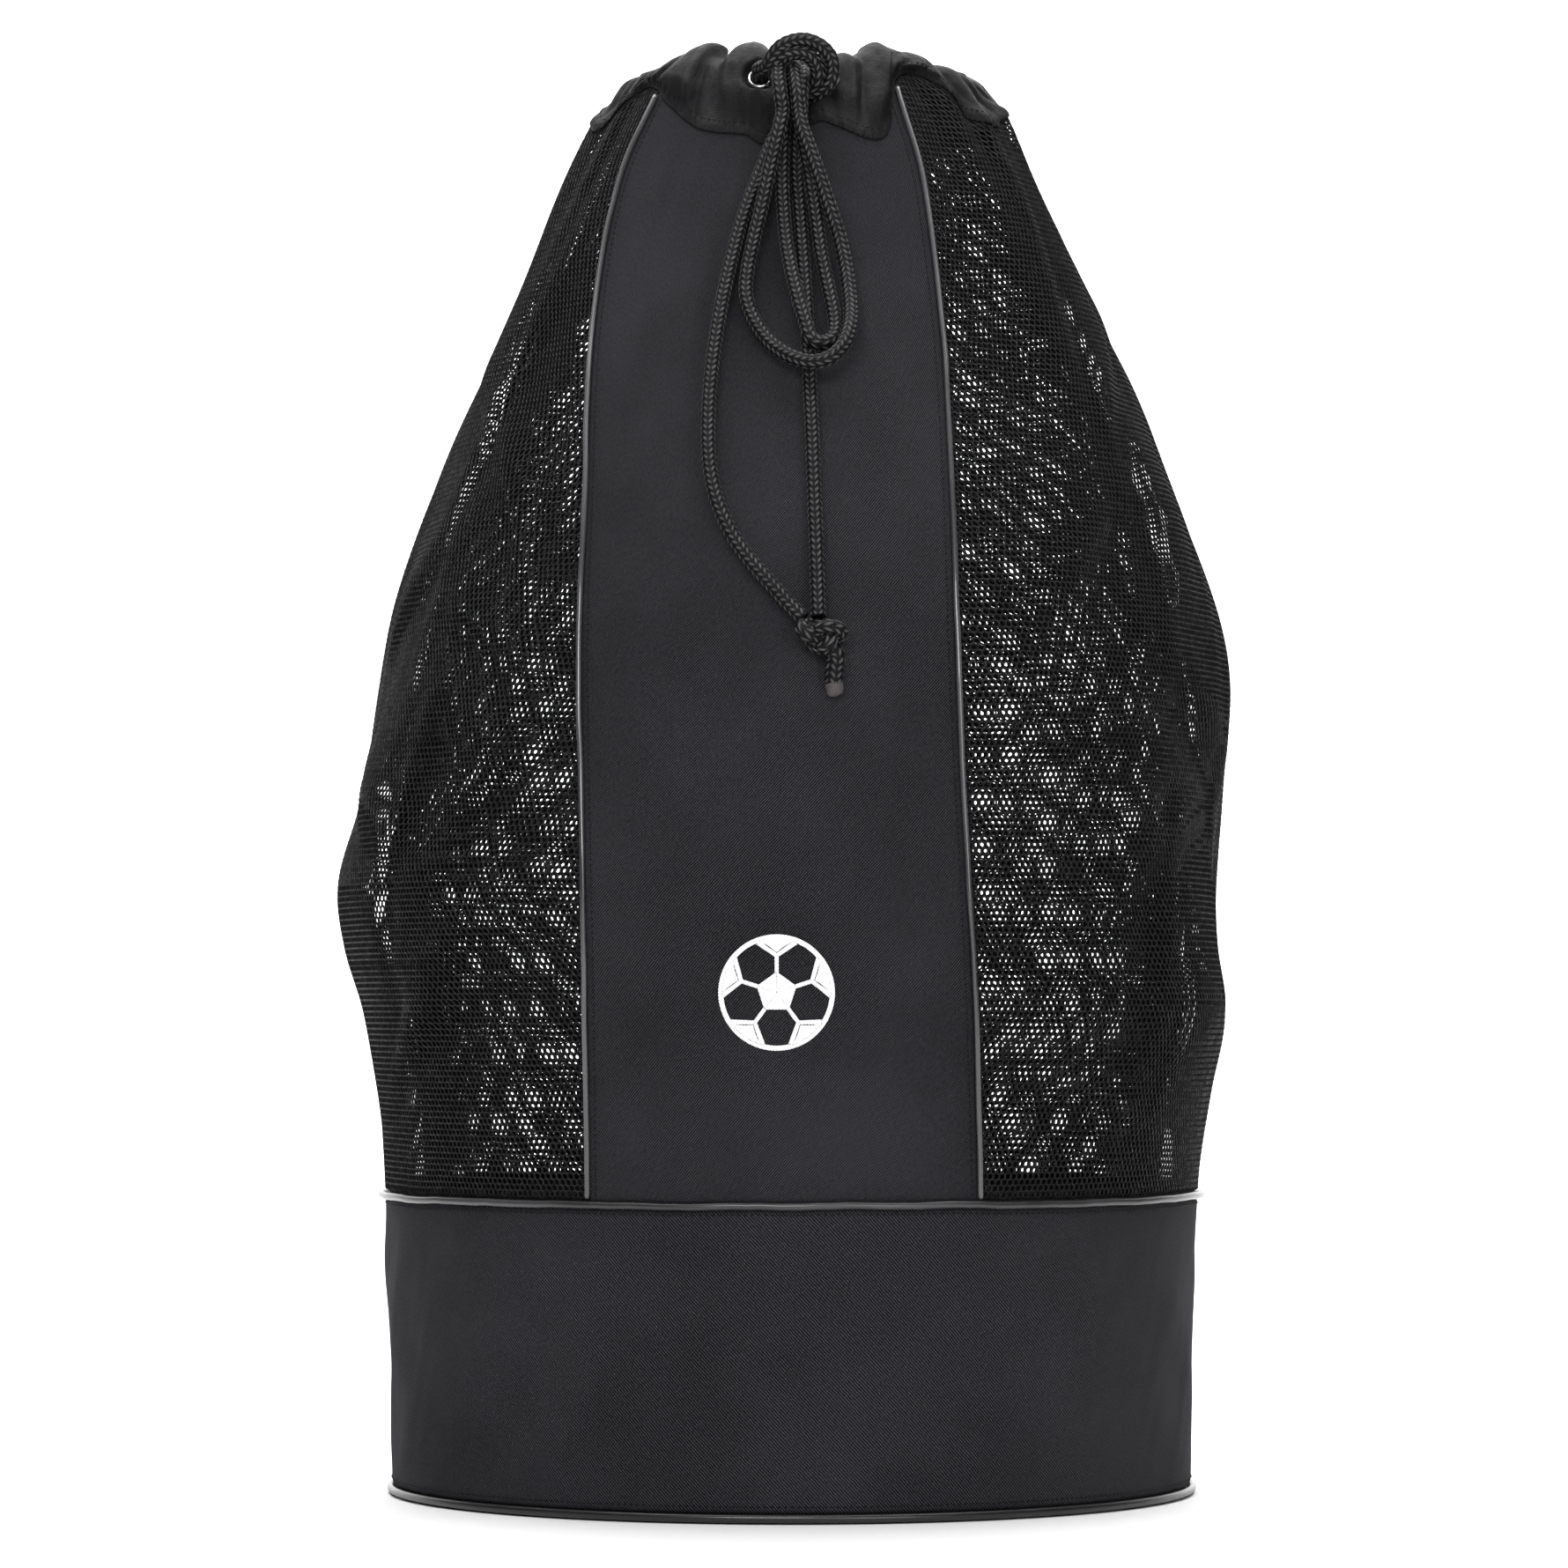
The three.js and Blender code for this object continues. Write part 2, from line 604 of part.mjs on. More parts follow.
add("slip_knot", slipKnot(), CORD, knotGroup);
add("tail_left", tube(TAIL_LEFT.map(overPanel), CORD_RADIUS, 18), CORD, tails);
add("tail_right", tube(TAIL_RIGHT.map(overPanel), CORD_RADIUS, 13), CORD, tails);
add("end_knot", endKnot(), CORD, tails);
add("end_stub", endStub(), CORD, tails);
add("sealed_tip", sealedTip(), CORD, tails);
add("loop_large", tube(LOOP_LARGE.map(overPanel), CORD_RADIUS, 26), CORD, loops);
add("loop_small", tube(LOOP_SMALL.map(overPanel), CORD_RADIUS, 24), CORD, loops);

export default bag;
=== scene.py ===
"""A drawcord ball bag: the cloth, nets, cords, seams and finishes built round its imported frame.

Metres. +Z is up, the front faces -Y and the origin is the centre of the base on the floor. Every soft
piece is worked out from one surface, cloth_point, which is the filled bag with its folds.
"""

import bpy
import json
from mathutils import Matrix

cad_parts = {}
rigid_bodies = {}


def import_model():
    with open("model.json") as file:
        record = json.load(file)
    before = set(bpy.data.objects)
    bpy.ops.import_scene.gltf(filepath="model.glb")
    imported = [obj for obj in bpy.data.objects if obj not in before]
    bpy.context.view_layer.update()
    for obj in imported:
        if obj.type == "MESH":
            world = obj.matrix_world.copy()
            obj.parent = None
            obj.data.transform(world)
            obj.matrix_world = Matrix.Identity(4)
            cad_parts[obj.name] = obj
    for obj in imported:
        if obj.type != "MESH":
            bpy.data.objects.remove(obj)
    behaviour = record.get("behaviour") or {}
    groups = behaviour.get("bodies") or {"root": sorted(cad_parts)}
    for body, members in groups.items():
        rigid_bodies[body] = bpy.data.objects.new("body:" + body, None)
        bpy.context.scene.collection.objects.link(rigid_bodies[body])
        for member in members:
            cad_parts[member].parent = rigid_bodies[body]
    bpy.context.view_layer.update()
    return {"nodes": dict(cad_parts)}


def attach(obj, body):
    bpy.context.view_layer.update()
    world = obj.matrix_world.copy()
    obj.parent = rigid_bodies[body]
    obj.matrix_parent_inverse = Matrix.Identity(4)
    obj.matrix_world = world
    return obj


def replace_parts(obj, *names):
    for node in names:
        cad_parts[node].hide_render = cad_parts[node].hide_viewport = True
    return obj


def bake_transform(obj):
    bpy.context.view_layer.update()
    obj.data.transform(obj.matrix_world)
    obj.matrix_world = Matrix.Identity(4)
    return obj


bl_info = {
    "name": "Drawcord Ball Bag",
    "version": (1, 0, 0),
    "blender": (4, 5, 0),
    "location": "3D View > Sidebar > Ball Bag",
    "description": "Builds the cloth, nets, cords and finishes of a ball bag round its packed frame",
    "category": "Object",
}

import json
import math

import bmesh
import bpy
import numpy as np
from mathutils import Vector

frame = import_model()

# ---- The filled bag's shape

# Height, half-width to the left and half-width to the right.
PROFILE = np.array([
    (0.000, 0.25, 0.25), (0.183, 0.255, 0.255), (0.25, 0.26, 0.263), (0.3, 0.267, 0.275),
    (0.34, 0.279, 0.271), (0.38, 0.285, 0.269), (0.43, 0.274, 0.27), (0.5, 0.26, 0.274),
    (0.56, 0.247, 0.264), (0.64, 0.219, 0.237), (0.74, 0.178, 0.194), (0.83, 0.138, 0.152),
    (0.885, 0.105, 0.12), (0.903, 0.084, 0.098),
])
FLATTENED_FROM = 0.560
FLATTENED_BY = 0.14
NECK_HEIGHT = 0.885

# Height, and how far the seams of the front panel lie to the left and to the right of the middle.
FRONT_SEAMS = np.array([
    (0.183, 0.12, 0.111), (0.3, 0.121, 0.107), (0.4, 0.123, 0.102), (0.51, 0.125, 0.097),
    (0.6, 0.123, 0.095), (0.7, 0.121, 0.091), (0.77, 0.114, 0.085), (0.82, 0.103, 0.078),
    (0.87, 0.082, 0.064),
])

# The casing's lower hem: angle from the front in degrees, and height. It dips over the solid panels
# and rises in an arc over each net.
HEM = np.array([
    (-180, 0.838), (-168, 0.834), (-156, 0.841), (-150, 0.868), (-140, 0.877), (-128, 0.866),
    (-114, 0.855), (-100, 0.864), (-86, 0.868), (-76, 0.858), (-68, 0.851), (-64, 0.862), (-58, 0.874),
    (-52, 0.876), (-46, 0.872), (-41, 0.864), (-36, 0.857), (-30, 0.848), (-25, 0.842), (-19, 0.839),
    (-12, 0.837), (-8, 0.831), (-3, 0.832), (3, 0.84), (7, 0.846), (10, 0.844), (14, 0.839),
    (18, 0.835), (22, 0.836), (25, 0.846), (28, 0.868), (32, 0.879), (38, 0.881), (43, 0.877),
    (47, 0.869), (51, 0.856), (57, 0.852), (64, 0.853), (74, 0.864), (88, 0.868), (102, 0.858),
    (114, 0.854), (126, 0.866), (138, 0.878), (148, 0.868), (154, 0.842), (166, 0.834), (180, 0.838),
])

# The gathered rim: angle in degrees and height. Peaks are folds that stand out, and notches are creases.
RIM_LINE = np.array([
    (-180, 0.894), (-166, 0.901), (-153, 0.891), (-140, 0.9), (-127, 0.89), (-112, 0.9), (-98, 0.892),
    (-86, 0.887), (-75, 0.889), (-60, 0.891), (-48, 0.896), (-41, 0.902), (-33, 0.902), (-30, 0.893),
    (-26, 0.89), (-23.5, 0.892), (-21, 0.9), (-17, 0.9025), (-12, 0.9005), (-7, 0.894), (0, 0.893),
    (7, 0.893), (13, 0.892), (17, 0.8945), (20, 0.893), (24, 0.896), (28, 0.901), (32, 0.903),
    (38, 0.899), (45, 0.898), (49, 0.893), (58, 0.892), (68, 0.888), (79, 0.89), (92, 0.894),
    (106, 0.901), (119, 0.891), (130, 0.9), (143, 0.89), (155, 0.901), (168, 0.892), (180, 0.894),
])

RIM = 0.901
BAND_BOTTOM = 0.0059
RIM_SEAM = 0.18575
FABRIC = 0.0007
BEAD_GAP = 0.0006
BASE_BEAD_RADIUS = 0.0026
RIM_BEAD_RADIUS = 0.0023
SEAM_BEAD_RADIUS = 0.0017
CORD_RADIUS = 0.0045
CHANNEL_DEPTH = 0.018
EYELETS = ("left_eyelet", "right_eyelet")
SEAMS = ("front_left", "front_right", "back_right", "back_left")
BAND_TOP = 0.1838
PANEL_BOTTOM = 0.1876
NET_BOTTOM = 0.1868
NET_TOP = 0.905
PLAIN_HEM = 0.852  # the frame's own casing ends here, and waves by HEM_WAVE
HEM_WAVE = 0.016
BADGE_PLACE = (-0.009, 0.311)
BADGE_RADIUS = 0.034
BADGE_LINE = 0.003

# The free cord's routes: distance across, height, and how far its middle stands off the front panel.
TAIL_LEFT = [
    (-0.005, 0.847, 0.01), (-0.008, 0.838, 0.0098), (-0.013, 0.827, 0.0092), (-0.02, 0.807, 0.009),
    (-0.028, 0.785, 0.01), (-0.0335, 0.765, 0.0105), (-0.038, 0.745, 0.0108), (-0.042, 0.725, 0.0114),
    (-0.045, 0.705, 0.0115), (-0.0475, 0.685, 0.0115), (-0.049, 0.665, 0.0115),
    (-0.0495, 0.645, 0.0115), (-0.049, 0.628, 0.0115), (-0.0465, 0.61, 0.0111), (-0.042, 0.595, 0.0105),
    (-0.035, 0.58, 0.0093), (-0.0255, 0.566, 0.0082), (-0.0145, 0.553, 0.008), (-0.004, 0.541, 0.009),
    (0.0065, 0.5298, 0.011),
]
TAIL_RIGHT = [
    (0.0047, 0.847, 0.01), (0.004, 0.838, 0.0098), (0.0035, 0.827, 0.0088), (0.0035, 0.807, 0.007),
    (0.005, 0.785, 0.007), (0.0065, 0.762, 0.007), (0.008, 0.738, 0.007), (0.0093, 0.715, 0.007),
    (0.01, 0.692, 0.007), (0.011, 0.668, 0.007), (0.012, 0.645, 0.007), (0.0128, 0.62, 0.007),
    (0.0136, 0.596, 0.007), (0.0144, 0.572, 0.008), (0.015, 0.55, 0.0095), (0.0155, 0.5309, 0.012),
]
LOOP_LARGE = [
    (-0.0055, 0.847, 0.0318), (-0.007, 0.838, 0.0312), (-0.0095, 0.827, 0.0288),
    (-0.014, 0.807, 0.0225), (-0.0185, 0.785, 0.0165), (-0.0235, 0.763, 0.012),
    (-0.0268, 0.745, 0.0105), (-0.0275, 0.73, 0.0105), (-0.0235, 0.716, 0.0105),
    (-0.0165, 0.704, 0.0115), (-0.0075, 0.695, 0.014), (0.0025, 0.689, 0.0175),
    (0.0125, 0.6865, 0.0205), (0.0225, 0.689, 0.0228), (0.0303, 0.697, 0.0228), (0.0343, 0.708, 0.0205),
    (0.0353, 0.72, 0.0165), (0.0343, 0.735, 0.0135), (0.032, 0.752, 0.0125), (0.0285, 0.769, 0.0145),
    (0.0235, 0.785, 0.019), (0.0165, 0.807, 0.0255), (0.0095, 0.827, 0.0302), (0.006, 0.838, 0.0317),
    (0.0045, 0.847, 0.032),
]
LOOP_SMALL = [
    (-0.004, 0.847, 0.021), (-0.0045, 0.838, 0.0204), (-0.0052, 0.827, 0.0182),
    (-0.0058, 0.807, 0.0147), (-0.005, 0.785, 0.013), (-0.003, 0.762, 0.0145), (0.0005, 0.741, 0.017),
    (0.0045, 0.724, 0.0184), (0.0088, 0.709, 0.0186), (0.0107, 0.7028, 0.0186), (0.015, 0.6993, 0.0182),
    (0.0203, 0.6993, 0.0172), (0.0246, 0.7028, 0.0155), (0.026, 0.7085, 0.0137),
    (0.0252, 0.719, 0.0116), (0.022, 0.736, 0.0105), (0.018, 0.757, 0.0105), (0.0152, 0.78, 0.012),
    (0.0118, 0.805, 0.0155), (0.0078, 0.827, 0.0194), (0.006, 0.838, 0.0209), (0.0056, 0.847, 0.0212),
]


def along(table, z, column):
    """A smooth curve through a table's values of one column, for an array of heights."""
    z = np.clip(np.asarray(z, float), table[0, 0], table[-1, 0])
    i = np.clip(np.searchsorted(table[:, 0], z, "right") - 1, 0, len(table) - 2)
    before, after = np.maximum(i - 1, 0), np.minimum(i + 2, len(table) - 1)
    slope_low = (table[i + 1, column] - table[before, column]) / (table[i + 1, 0] - table[before, 0])
    slope_high = (table[after, column] - table[i, column]) / (table[after, 0] - table[i, 0])
    step = table[i + 1, 0] - table[i, 0]
    t = (z - table[i, 0]) / step
    ease = t * t * (3 - 2 * t)
    bend = slope_low * t * (1 - t) ** 2 - slope_high * t**2 * (1 - t)
    return table[i, column] * (1 - ease) + table[i + 1, column] * ease + bend * step


def smoothstep(low, high, x):
    t = np.clip((np.asarray(x, float) - low) / (high - low), 0, 1)
    return t * t * (3 - 2 * t)


def mix(a, b, t):
    return a * (1 - t) + b * t


def all_round(count):
    return np.linspace(0, 2 * math.pi, count, endpoint=False)


def half_width(z, side):
    return np.where(np.asarray(side) < 0, along(PROFILE, z, 1), along(PROFILE, z, 2))


def half_depth(z):
    mean = (along(PROFILE, z, 1) + along(PROFILE, z, 2)) / 2
    return mean * (1 - FLATTENED_BY * smoothstep(FLATTENED_FROM, NECK_HEIGHT, z))


def bag_point(angle, z, off=0.0):
    """The point at this angle and height, off outside the filled bag. Angle 0 is the front."""
    angle, z = np.broadcast_arrays(np.asarray(angle, float), np.asarray(z, float))
    across = (half_width(z, np.sin(angle)) + off) * np.sin(angle)
    return np.stack([across, -(half_depth(z) + off) * np.cos(angle), z], axis=-1)


def over_panel(point):
    """A point in front of the front panel, off it by the third number."""
    x, z, off = point
    angle = math.asin(x / float(half_width(z, x)))
    _, y, _ = bag_point(angle, z)
    return np.array([x, y - off, z])


def seam_angle(name, z):
    left = -np.arcsin(along(FRONT_SEAMS, z, 1) / half_width(z, -1))
    right = np.arcsin(along(FRONT_SEAMS, z, 2) / half_width(z, 1))
    return {
        "front_left": left,
        "front_right": right,
        "back_right": math.pi - right,
        "back_left": math.pi - left,
        "front_left_again": left + 2 * math.pi,
    }[name]


def turned(angle):
    """The same angle between -180 and 180 degrees."""
    return (np.asarray(angle, float) + math.pi) % (2 * math.pi) - math.pi


def hem_height(angle):
    table = np.column_stack([np.radians(HEM[:, 0]), HEM[:, 1]])
    return along(table, turned(angle), 1)


def wander(x, y, seed):
    """A smooth wavering between about -1 and 1, the same each run."""
    a = np.sin(1.3 * x + 1.7 * np.sin(0.9 * y + seed) + 2.1 * seed)
    b = np.sin(2.9 * x - 1.9 * y + 1.3 * np.sin(1.7 * x + 4 * seed) + seed)
    c = np.sin(1.1 * y + 2.3 * x * 0.4 + 3.3 * seed)
    return (a + 0.6 * b + 0.5 * c) / 1.9


# ---- Folds

NET_EASE = 0.030  # the folds grow over this much cloth from a seam, on the nets
PANEL_EASE = 0.035  # and on the panels
# Folds hang from the gathers: how many go round the bag, how deep they are and how far down they reach.
PLEATS = [(46, 0.0018, 0.030), (27, 0.0028, 0.065), (15, 0.0034, 0.120), (8, 0.0036, 0.230)]


def seam_distance(angle, z):
    """How far into a net a point is from its nearest seam, negative on the solid panels."""
    front = np.where(np.sin(angle) < 0, -seam_angle("front_left", z), seam_angle("front_right", z))
    turn = np.arccos(np.clip(np.cos(angle), -1, 1))
    return np.minimum(turn - front, (math.pi - front) - turn) * half_depth(z)


def drape(angle, z):
    """How far the cloth lies outside the plain filled shape, from its folds."""
    angle, z = np.broadcast_arrays(turned(angle), np.asarray(z, float))
    into_net = smoothstep(0.0, NET_EASE, seam_distance(angle, z))
    on_panel = smoothstep(0.0, PANEL_EASE, -seam_distance(angle, z))
    below = np.maximum(hem_height(angle) - z, 0.0)
    folds = np.zeros_like(z)
    for count, depth, reach in PLEATS:
        lean = 1.1 * wander(angle * 2.1, z * 9.0, count * 0.37)
        wave = np.cos(count * angle + lean * 1.6 + 0.4 * count)
        strength = 0.55 + 0.45 * wander(angle * 3.3 + count, z * 4.0, count * 0.11)
        folds = folds + depth * np.exp(-below / reach) * strength * wave
    low = smoothstep(RIM_SEAM, RIM_SEAM + 0.10, z)
    slack = 0.0034 * wander(angle * 4.2, z * 13.0, 1.7)
    slack = slack + 0.0022 * wander(angle * 9.0, z * 24.0, 4.1)
    net_part = into_net * (1.25 * folds + low * (slack + creases(angle, z)))
    return net_part + on_panel * (0.42 * folds + low * panel_wrinkles(angle, z))


# Creases: angle and height of the middle, slant, width and depth.
CREASES = [
    (-0.95, 0.3, 0.45, 0.01, 0.0046), (-0.8, 0.345, 0.55, 0.013, 0.004),
    (-1.15, 0.42, -0.5, 0.016, 0.0036), (-0.7, 0.52, -0.62, 0.015, 0.0032),
    (-1.3, 0.56, 0.75, 0.018, 0.0038), (-0.92, 0.64, -1.1, 0.013, 0.0036),
    (0.78, 0.255, -0.5, 0.012, 0.0036), (0.95, 0.4, 0.5, 0.016, 0.004),
    (1.2, 0.5, -0.55, 0.018, 0.0036), (0.8, 0.59, 0.85, 0.014, 0.0036),
    (1.05, 0.68, 1.2, 0.013, 0.0034), (2.2, 0.35, 0.5, 0.018, 0.004), (-2.1, 0.45, -0.5, 0.018, 0.004),
    (2.35, 0.6, -0.8, 0.016, 0.0036), (-2.3, 0.65, 0.9, 0.016, 0.0036),
]
CREASE_REACH = 0.075


def creases(angle, z):
    """Slanting creases where the net is pulled over what fills the bag, mostly low on each side."""
    total = np.zeros_like(z)
    for centre, height, slant, width, depth in CREASES:
        across = turned(angle - centre) * half_depth(z)
        lean = math.atan(slant)
        run = across * math.cos(lean) + (z - height) * math.sin(lean)
        beside = -across * math.sin(lean) + (z - height) * math.cos(lean)
        bowed = beside + 1.6 * run**2
        ridge = np.exp(-((bowed / width) ** 2))
        hollow = np.exp(-(((bowed + 1.6 * width) / (1.3 * width)) ** 2))
        total = total + depth * np.exp(-((run / CREASE_REACH) ** 2)) * (ridge - 0.7 * hollow)
    return total


def panel_wrinkles(angle, z):
    """Shallow wrinkles of the solid panels, running down from the gathers and across at the seams."""
    long_ones = 0.0011 * wander(angle * 15.0 + 1.4 * z, z * 6.0, 2.9)
    small_ones = 0.0005 * wander(angle * 40.0, z * 17.0 + angle * 6.0, 0.8)
    return long_ones + small_ones


def seam_wave(angle):
    """The base band's top seam isn't quite level."""
    flat = 0.0 * angle
    return 0.0007 * wander(angle * 5.0, flat, 2.2) + 0.0003 * wander(angle * 21.0, flat, 5.5)


def cloth_point(angle, z, off=0.0):
    """A point on the bag's outer cloth, with its folds, off outside it."""
    near_rim = np.exp(-np.abs(np.asarray(z, float) - RIM_SEAM) / 0.02)
    point = bag_point(angle, z, off + drape(angle, z))
    point[..., 2] = point[..., 2] + seam_wave(turned(angle)) * near_rim
    return point


# ---- Making meshes


def new_piece(name, points, faces, material=None):
    mesh = bpy.data.meshes.new(name)
    faces = faces if isinstance(faces, list) else faces.tolist()
    mesh.from_pydata(np.asarray(points, float).reshape(-1, 3).tolist(), [], faces)
    mesh.validate()
    obj = bpy.data.objects.new(name, mesh)
    bpy.context.scene.collection.objects.link(obj)
    mesh.polygons.foreach_set("use_smooth", np.ones(len(mesh.polygons), bool))
    if material is not None:
        mesh.materials.append(material)
    return obj


def set_uv(obj, across, up, round_by=None):
    """Writes a UV map, in metres, from two numbers for each vertex. A piece that closes on itself gives
    its length round, so that the pattern runs on over the join."""
    layer = obj.data.uv_layers.new(name="cloth")
    corners = np.zeros(len(obj.data.loops), np.int32)
    obj.data.loops.foreach_get("vertex_index", corners)
    placed = np.stack([across, up], -1).reshape(-1, 2).astype(np.float32)[corners]
    if round_by:
        starts = np.zeros(len(obj.data.polygons), np.int32)
        obj.data.polygons.foreach_get("loop_start", starts)
        sizes = np.zeros(len(starts), np.int32)
        obj.data.polygons.foreach_get("loop_total", sizes)
        quads = starts[sizes == 4][:, None] + np.arange(4)
        place = placed[quads, 0]
        behind = place < place.max(axis=1, keepdims=True) - round_by / 2
        placed[quads, 0] = place + round_by * behind
    layer.data.foreach_set("uv", placed.ravel())


def set_value(obj, name, values):
    attribute = obj.data.attributes.new(name, "FLOAT", "POINT")
    attribute.data.foreach_set("value", np.asarray(values, np.float32).ravel())


def grid_faces(rows, columns, closed=False):
    """Quads over rows of points, facing out where columns run anticlockwise seen from above."""
    j, i = np.meshgrid(np.arange(rows - 1), np.arange(columns if closed else columns - 1), indexing="ij")
    k = (i + 1) % columns
    quads = np.stack([j * columns + i, j * columns + k, (j + 1) * columns + k, (j + 1) * columns + i], -1)
    return quads.reshape(-1, 4)


def plain_mesh(obj):
    """Turns the object's modifiers into its own mesh and removes them."""
    graph = bpy.context.evaluated_depsgraph_get()
    made = bpy.data.meshes.new_from_object(obj.evaluated_get(graph))
    obj.modifiers.clear()
    old = obj.data
    obj.data = made
    if old.users == 0:
        bpy.data.batch_remove([old])
    made.name = obj.name
    return obj


def thicken(obj, thickness, offset=-1.0):
    """Gives a sheet its thickness, inward unless told, and shares its UV map with the new faces."""
    solid = obj.modifiers.new("thickness", "SOLIDIFY")
    solid.thickness = thickness
    solid.offset = offset
    return plain_mesh(obj)


def cloth_sheet(name, angles, heights, material, off=0.0, closed=False):
    """A sheet of cloth over a grid of angles and heights, both given as rows of columns."""
    rows, columns = angles.shape
    points = cloth_point(angles, heights, off)
    obj = new_piece(name, points, grid_faces(rows, columns, closed), material)
    reach = float(half_depth(heights.mean()))
    set_uv(obj, angles * reach, heights, 2 * math.pi * reach if closed else None)
    return obj


def cross_frames(points, closed=False):
    """Tangents and two cross directions along a line, turning as little as they can."""
    if closed:
        tangents = np.roll(points, -1, 0) - np.roll(points, 1, 0)
    else:
        tangents = np.gradient(points, axis=0)
    tangents = tangents / np.linalg.norm(tangents, axis=1)[:, None]
    first = np.cross(tangents[0], [0.0, 0.0, 1.0])
    if np.linalg.norm(first) < 0.1:
        first = np.cross(tangents[0], [0.0, 1.0, 0.0])
    sides = [first / np.linalg.norm(first)]
    for t in tangents[1:]:
        side = sides[-1] - t * np.dot(sides[-1], t)
        sides.append(side / np.linalg.norm(side))
    sides = np.array(sides)
    if closed:
        last = sides[-1] - tangents[0] * np.dot(sides[-1], tangents[0])
        other = np.cross(tangents[0], sides[0])
        gap = math.atan2(float(np.dot(last, other)), float(np.dot(last, sides[0])))
        back = -gap * np.arange(len(points)) / len(points)
        ups = np.cross(tangents, sides)
        sides = sides * np.cos(back)[:, None] + ups * np.sin(back)[:, None]
    return tangents, sides, np.cross(tangents, sides)


def tube_mesh(name, points, radius, sides, material, closed=False, height=None):
    """A tube along points. height(around, along) lifts its surface, from turns round and metres along."""
    points = np.asarray(points, float)
    _, side, up = cross_frames(points, closed)
    steps = np.linalg.norm(np.diff(points, axis=0), axis=1)
    run = np.concatenate([[0.0], np.cumsum(steps)])
    u, v = np.meshgrid(np.arange(sides) / sides, run)
    lift = np.zeros_like(u) if height is None else height(u, v)
    radii = np.asarray(radius) if np.ndim(radius) == 0 else np.asarray(radius)[:, None]
    reach = radii + lift
    angle = 2 * math.pi * u
    ring = side[:, None, :] * np.cos(angle)[..., None] + up[:, None, :] * np.sin(angle)[..., None]
    shape = points[:, None, :] + ring * reach[..., None]
    rows = len(points)
    faces = grid_faces(rows, sides, True)
    if closed:
        i = np.arange(sides)
        k = (i + 1) % sides
        last = (rows - 1) * sides
        faces = np.vstack([faces, np.stack([last + i, last + k, k, i], -1)])
    faces = faces.tolist()
    if not closed:
        faces.append(list(range(sides))[::-1])
        faces.append(list(range((rows - 1) * sides, rows * sides)))
    obj = new_piece(name, shape, faces, material)
    set_uv(obj, u, v, 1.0)
    # The cord's material paints shade into the plaits' gaps and a highlight onto their tops from the plait
    # attribute.
    if height is not None:
        set_value(obj, "plait", lift / max(float(lift.max()), 1e-9))
    return obj


def smooth_route(points, step):
    """Evenly spaced points along a centripetal Catmull-Rom curve through the given ones."""
    p = np.asarray(points, float)
    p = np.vstack([2 * p[0] - p[1], p, 2 * p[-1] - p[-2]])
    fine = []
    for a, b, c, d in zip(p, p[1:], p[2:], p[3:]):
        legs = [math.sqrt(np.linalg.norm(leg)) for leg in (b - a, c - b, d - c)]
        t0, t1, t2, t3 = np.cumsum([0.0, *legs])
        t = np.linspace(t1, t2, 24, endpoint=False)[:, None]

        def part(low, high, start, end):
            return (high - t) / (high - low) * start + (t - low) / (high - low) * end

        middle = part(t1, t2, b, c)
        before = part(t0, t2, part(t0, t1, a, b), middle)
        after = part(t1, t3, middle, part(t2, t3, c, d))
        fine.append(part(t1, t2, before, after))
    fine = np.vstack([*fine, p[-2][None]])
    run = np.concatenate([[0.0], np.cumsum(np.linalg.norm(np.diff(fine, axis=0), axis=1))])
    wanted = np.linspace(0.0, run[-1], max(int(run[-1] / step), 2))
    return np.stack([np.interp(wanted, run, fine[:, k]) for k in range(3)], -1)


# ---- Materials


def feed(tree, value, socket):
    if isinstance(value, bpy.types.NodeSocket):
        tree.links.new(value, socket)
    else:
        socket.default_value = value


def add_node(tree, kind, settings=None, **inputs):
    """Adds a node, with its settings, and fills or links its inputs, by name or by number (i0, i1)."""
    node = tree.nodes.new(kind)
    for name, value in (settings or {}).items():
        setattr(node, name, value)
    for name, value in inputs.items():
        by_number = name[0] == "i" and name[1:].isdigit()
        feed(tree, value, node.inputs[int(name[1:]) if by_number else name.replace("_", " ")])
    return node


WEAVE_DEPTH = 0.0005
PATCHY = 0.3  # how much the solid cloths' soft patches show


